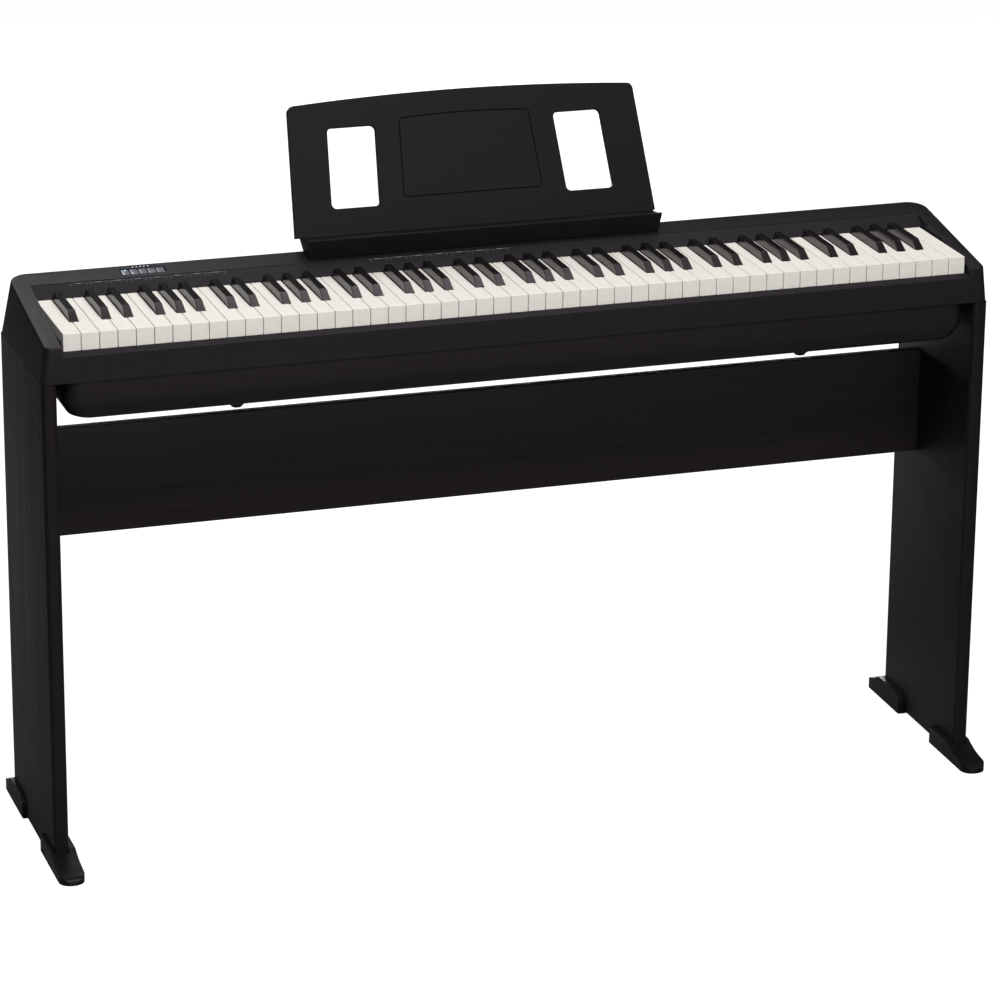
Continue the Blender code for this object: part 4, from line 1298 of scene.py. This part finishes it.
def music_rest():
    """The panel is a shell: a rim round its edge and round each window, a thin face between, ribs behind."""
    rest = solid("music_rest_moulding", face_view(rest_front_view(), 0, RIM_DEPTH))
    hollow = solid("hollow", face_view(rest_front_view(RIM_WALL), RIM_WALL, RIM_DEPTH + 0.01))
    ribs = [corners(x - RIB_HALF, -0.01, x + RIB_HALF, 0.2) for x in RIB_PLACES]
    ribs = [face_view(rib, 0, RIM_DEPTH - 0.002) for rib in ribs]
    carve(hollow, solid("collars_and_ribs", *windows(RIM_WALL, 0, RIM_DEPTH + 0.02), *ribs))
    carve(rest, hollow)
    ledge = solid("ledge", side_view(ledge_side(), -REST_LEDGE_HALF, REST_LEDGE_HALF))
    for vert in ledge.data.vertices:
        drop = (LIP_Z - vert.co.z) / (LIP_Z - top_plane(FOOT_FRONT))
        vert.co.x *= 1 - 0.011 * max(0, drop) ** 2
    carve(rest, ledge, "UNION")
    carve(rest, solid("tabs", *tabs(0, 0.009)), "UNION")
    carve(rest, solid("windows", *windows(0.0, -0.01, 0.02)))
    groove = solid("groove", face_view(field_view(0), -0.01, GROOVE_DEPTH))
    carve(groove, solid("field", face_view(field_view(GROOVE_WIDTH), -0.02, GROOVE_DEPTH + 0.01)))
    carve(rest, groove)
    ease(rest, 0.0006, 3, 30, clamp=False)
    plastic = moulding("rest_plastic", (0.0068, 0.0060, 0.0075), (0.0092, 0.0082, 0.0102), 0.50, 0.11, 0.4,
                       120, 0.000012, tint=(0.97, 0.92, 1))
    finish(rest, plastic, "music_rest", "case", "music_rest")


music_rest()


# ---------------- push buttons
# Five glossy silver-grey caps in one oblong opening, each on its own tact switch. The first is the power
# button and has a small blue lamp behind a clear window.

BUTTONS = ("power_button", "button_2", "button_3", "button_4", "button_5")
BUTTON_HEIGHT = 0.0045
BUTTON_ROUND = 0.0009
BUTTON_SINK = 0.0005
BUTTON_CROWN = 0.0003
CAP_STEPS = 6

silver_plastic = moulding("silver_plastic", (0.115, 0.12, 0.145), (0.19, 0.20, 0.235), 0.18, 0.5, 0.5, 1800,
                          0.000004, extra={"Coat Weight": 0.5, "Coat Roughness": 0.08})
lamp_blue = moulding("power_lamp", (0.35, 0.5, 0.9), (0.5, 0.65, 1.0), 0.15, 0.5,
                     extra={"Emission Color": (0.25, 0.45, 1.0, 1), "Emission Strength": 2.5})


def button(node):
    low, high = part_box(node)
    middle_x = (low.x + high.x) / 2
    half_width, half_depth = button_width / 2, BUTTON_DEPTH / 2
    bm = bmesh.new()
    bmesh.ops.create_grid(bm, x_segments=CAP_STEPS, y_segments=CAP_STEPS, size=1.0)
    faces = bmesh.ops.extrude_face_region(bm, geom=list(bm.faces))["geom"]
    for vert in bm.verts:
        vert.co.z = -BUTTON_HEIGHT
    for part in faces:
        if isinstance(part, bmesh.types.BMVert):
            part.co.z = -BUTTON_CROWN * (part.co.x ** 2 + part.co.y ** 2) / 2
    for vert in bm.verts:
        distance = BUTTON_BACK + vert.co.y * half_depth * math.cos(top_tilt)
        vert.co = top_point(middle_x + vert.co.x * half_width, distance, vert.co.z - BUTTON_SINK)
    cap = shape(bm, node + "_cap")
    ease(cap, BUTTON_ROUND, 4, 50)
    finish(cap, silver_plastic, node, "buttons", node)


def power_lamp():
    middle_x = (power_low.x + power_high.x) / 2
    lens = solid("power_lamp_lens", patch(middle_x, BUTTON_BACK + 0.0045, 0.0011, 0.0011, 0.0010,
                                          -BUTTON_SINK - 0.0006, -BUTTON_SINK + 0.0001))
    ease(lens, 0.0002, 3, 50)
    finish(lens, lamp_blue, "power_button", "light_lens")


for node in BUTTONS:
    button(node)
power_lamp()


# ---------------- indicator lights
# A smoked bar behind the buttons with five small round lenses moulded in it; light guides bring the glow of
# the lamps on the switch board up to them.

LIGHT_COUNT = 5
LIGHT_PITCH = 0.005
LENS_RADIUS = 0.00095
LENS_RISE = 0.0003
LENS_SEAT = -0.0006

smoked_plastic = moulding("smoked_plastic", (0.016, 0.015, 0.017), (0.024, 0.022, 0.025), 0.22, 0.5)
milky_lens = moulding("milky_lens", (0.72, 0.74, 0.78), (0.85, 0.86, 0.88), 0.25, 0.5,
                      extra={"Emission Color": (0.8, 0.85, 1.0, 1), "Emission Strength": 0.35})


def indicator_lights():
    bar = solid("indicator_bar_smoked",
                patch(lights_x, LIGHTS_BACK, lights_half, LIGHTS_HALF_DEPTH, 0.0008, -0.0034, 0.0))
    ease(bar, 0.0002, 2, 50)
    finish(bar, smoked_plastic, FIXED, "light_lens", "indicator_bar")
    dome = [(LENS_RADIUS * c, LENS_RISE * s) for c, s in arc((0, 0), 1, 70, -70, 4)]
    profile = [(0, LENS_RISE)] + dome + [(LENS_RADIUS, LENS_SEAT), (0, LENS_SEAT)]
    for k in range(LIGHT_COUNT):
        lens = turned(f"indicator_lens_{k + 1}", profile, 18)
        seat = top_point(lights_x + (k - (LIGHT_COUNT - 1) / 2) * LIGHT_PITCH, LIGHTS_BACK, 0.0)
        lens.matrix_world = Matrix.Translation(seat) @ Matrix.Rotation(top_tilt, 4, "X")
        finish(lens, milky_lens, FIXED, "light_lens", "indicator_bar")


indicator_lights()
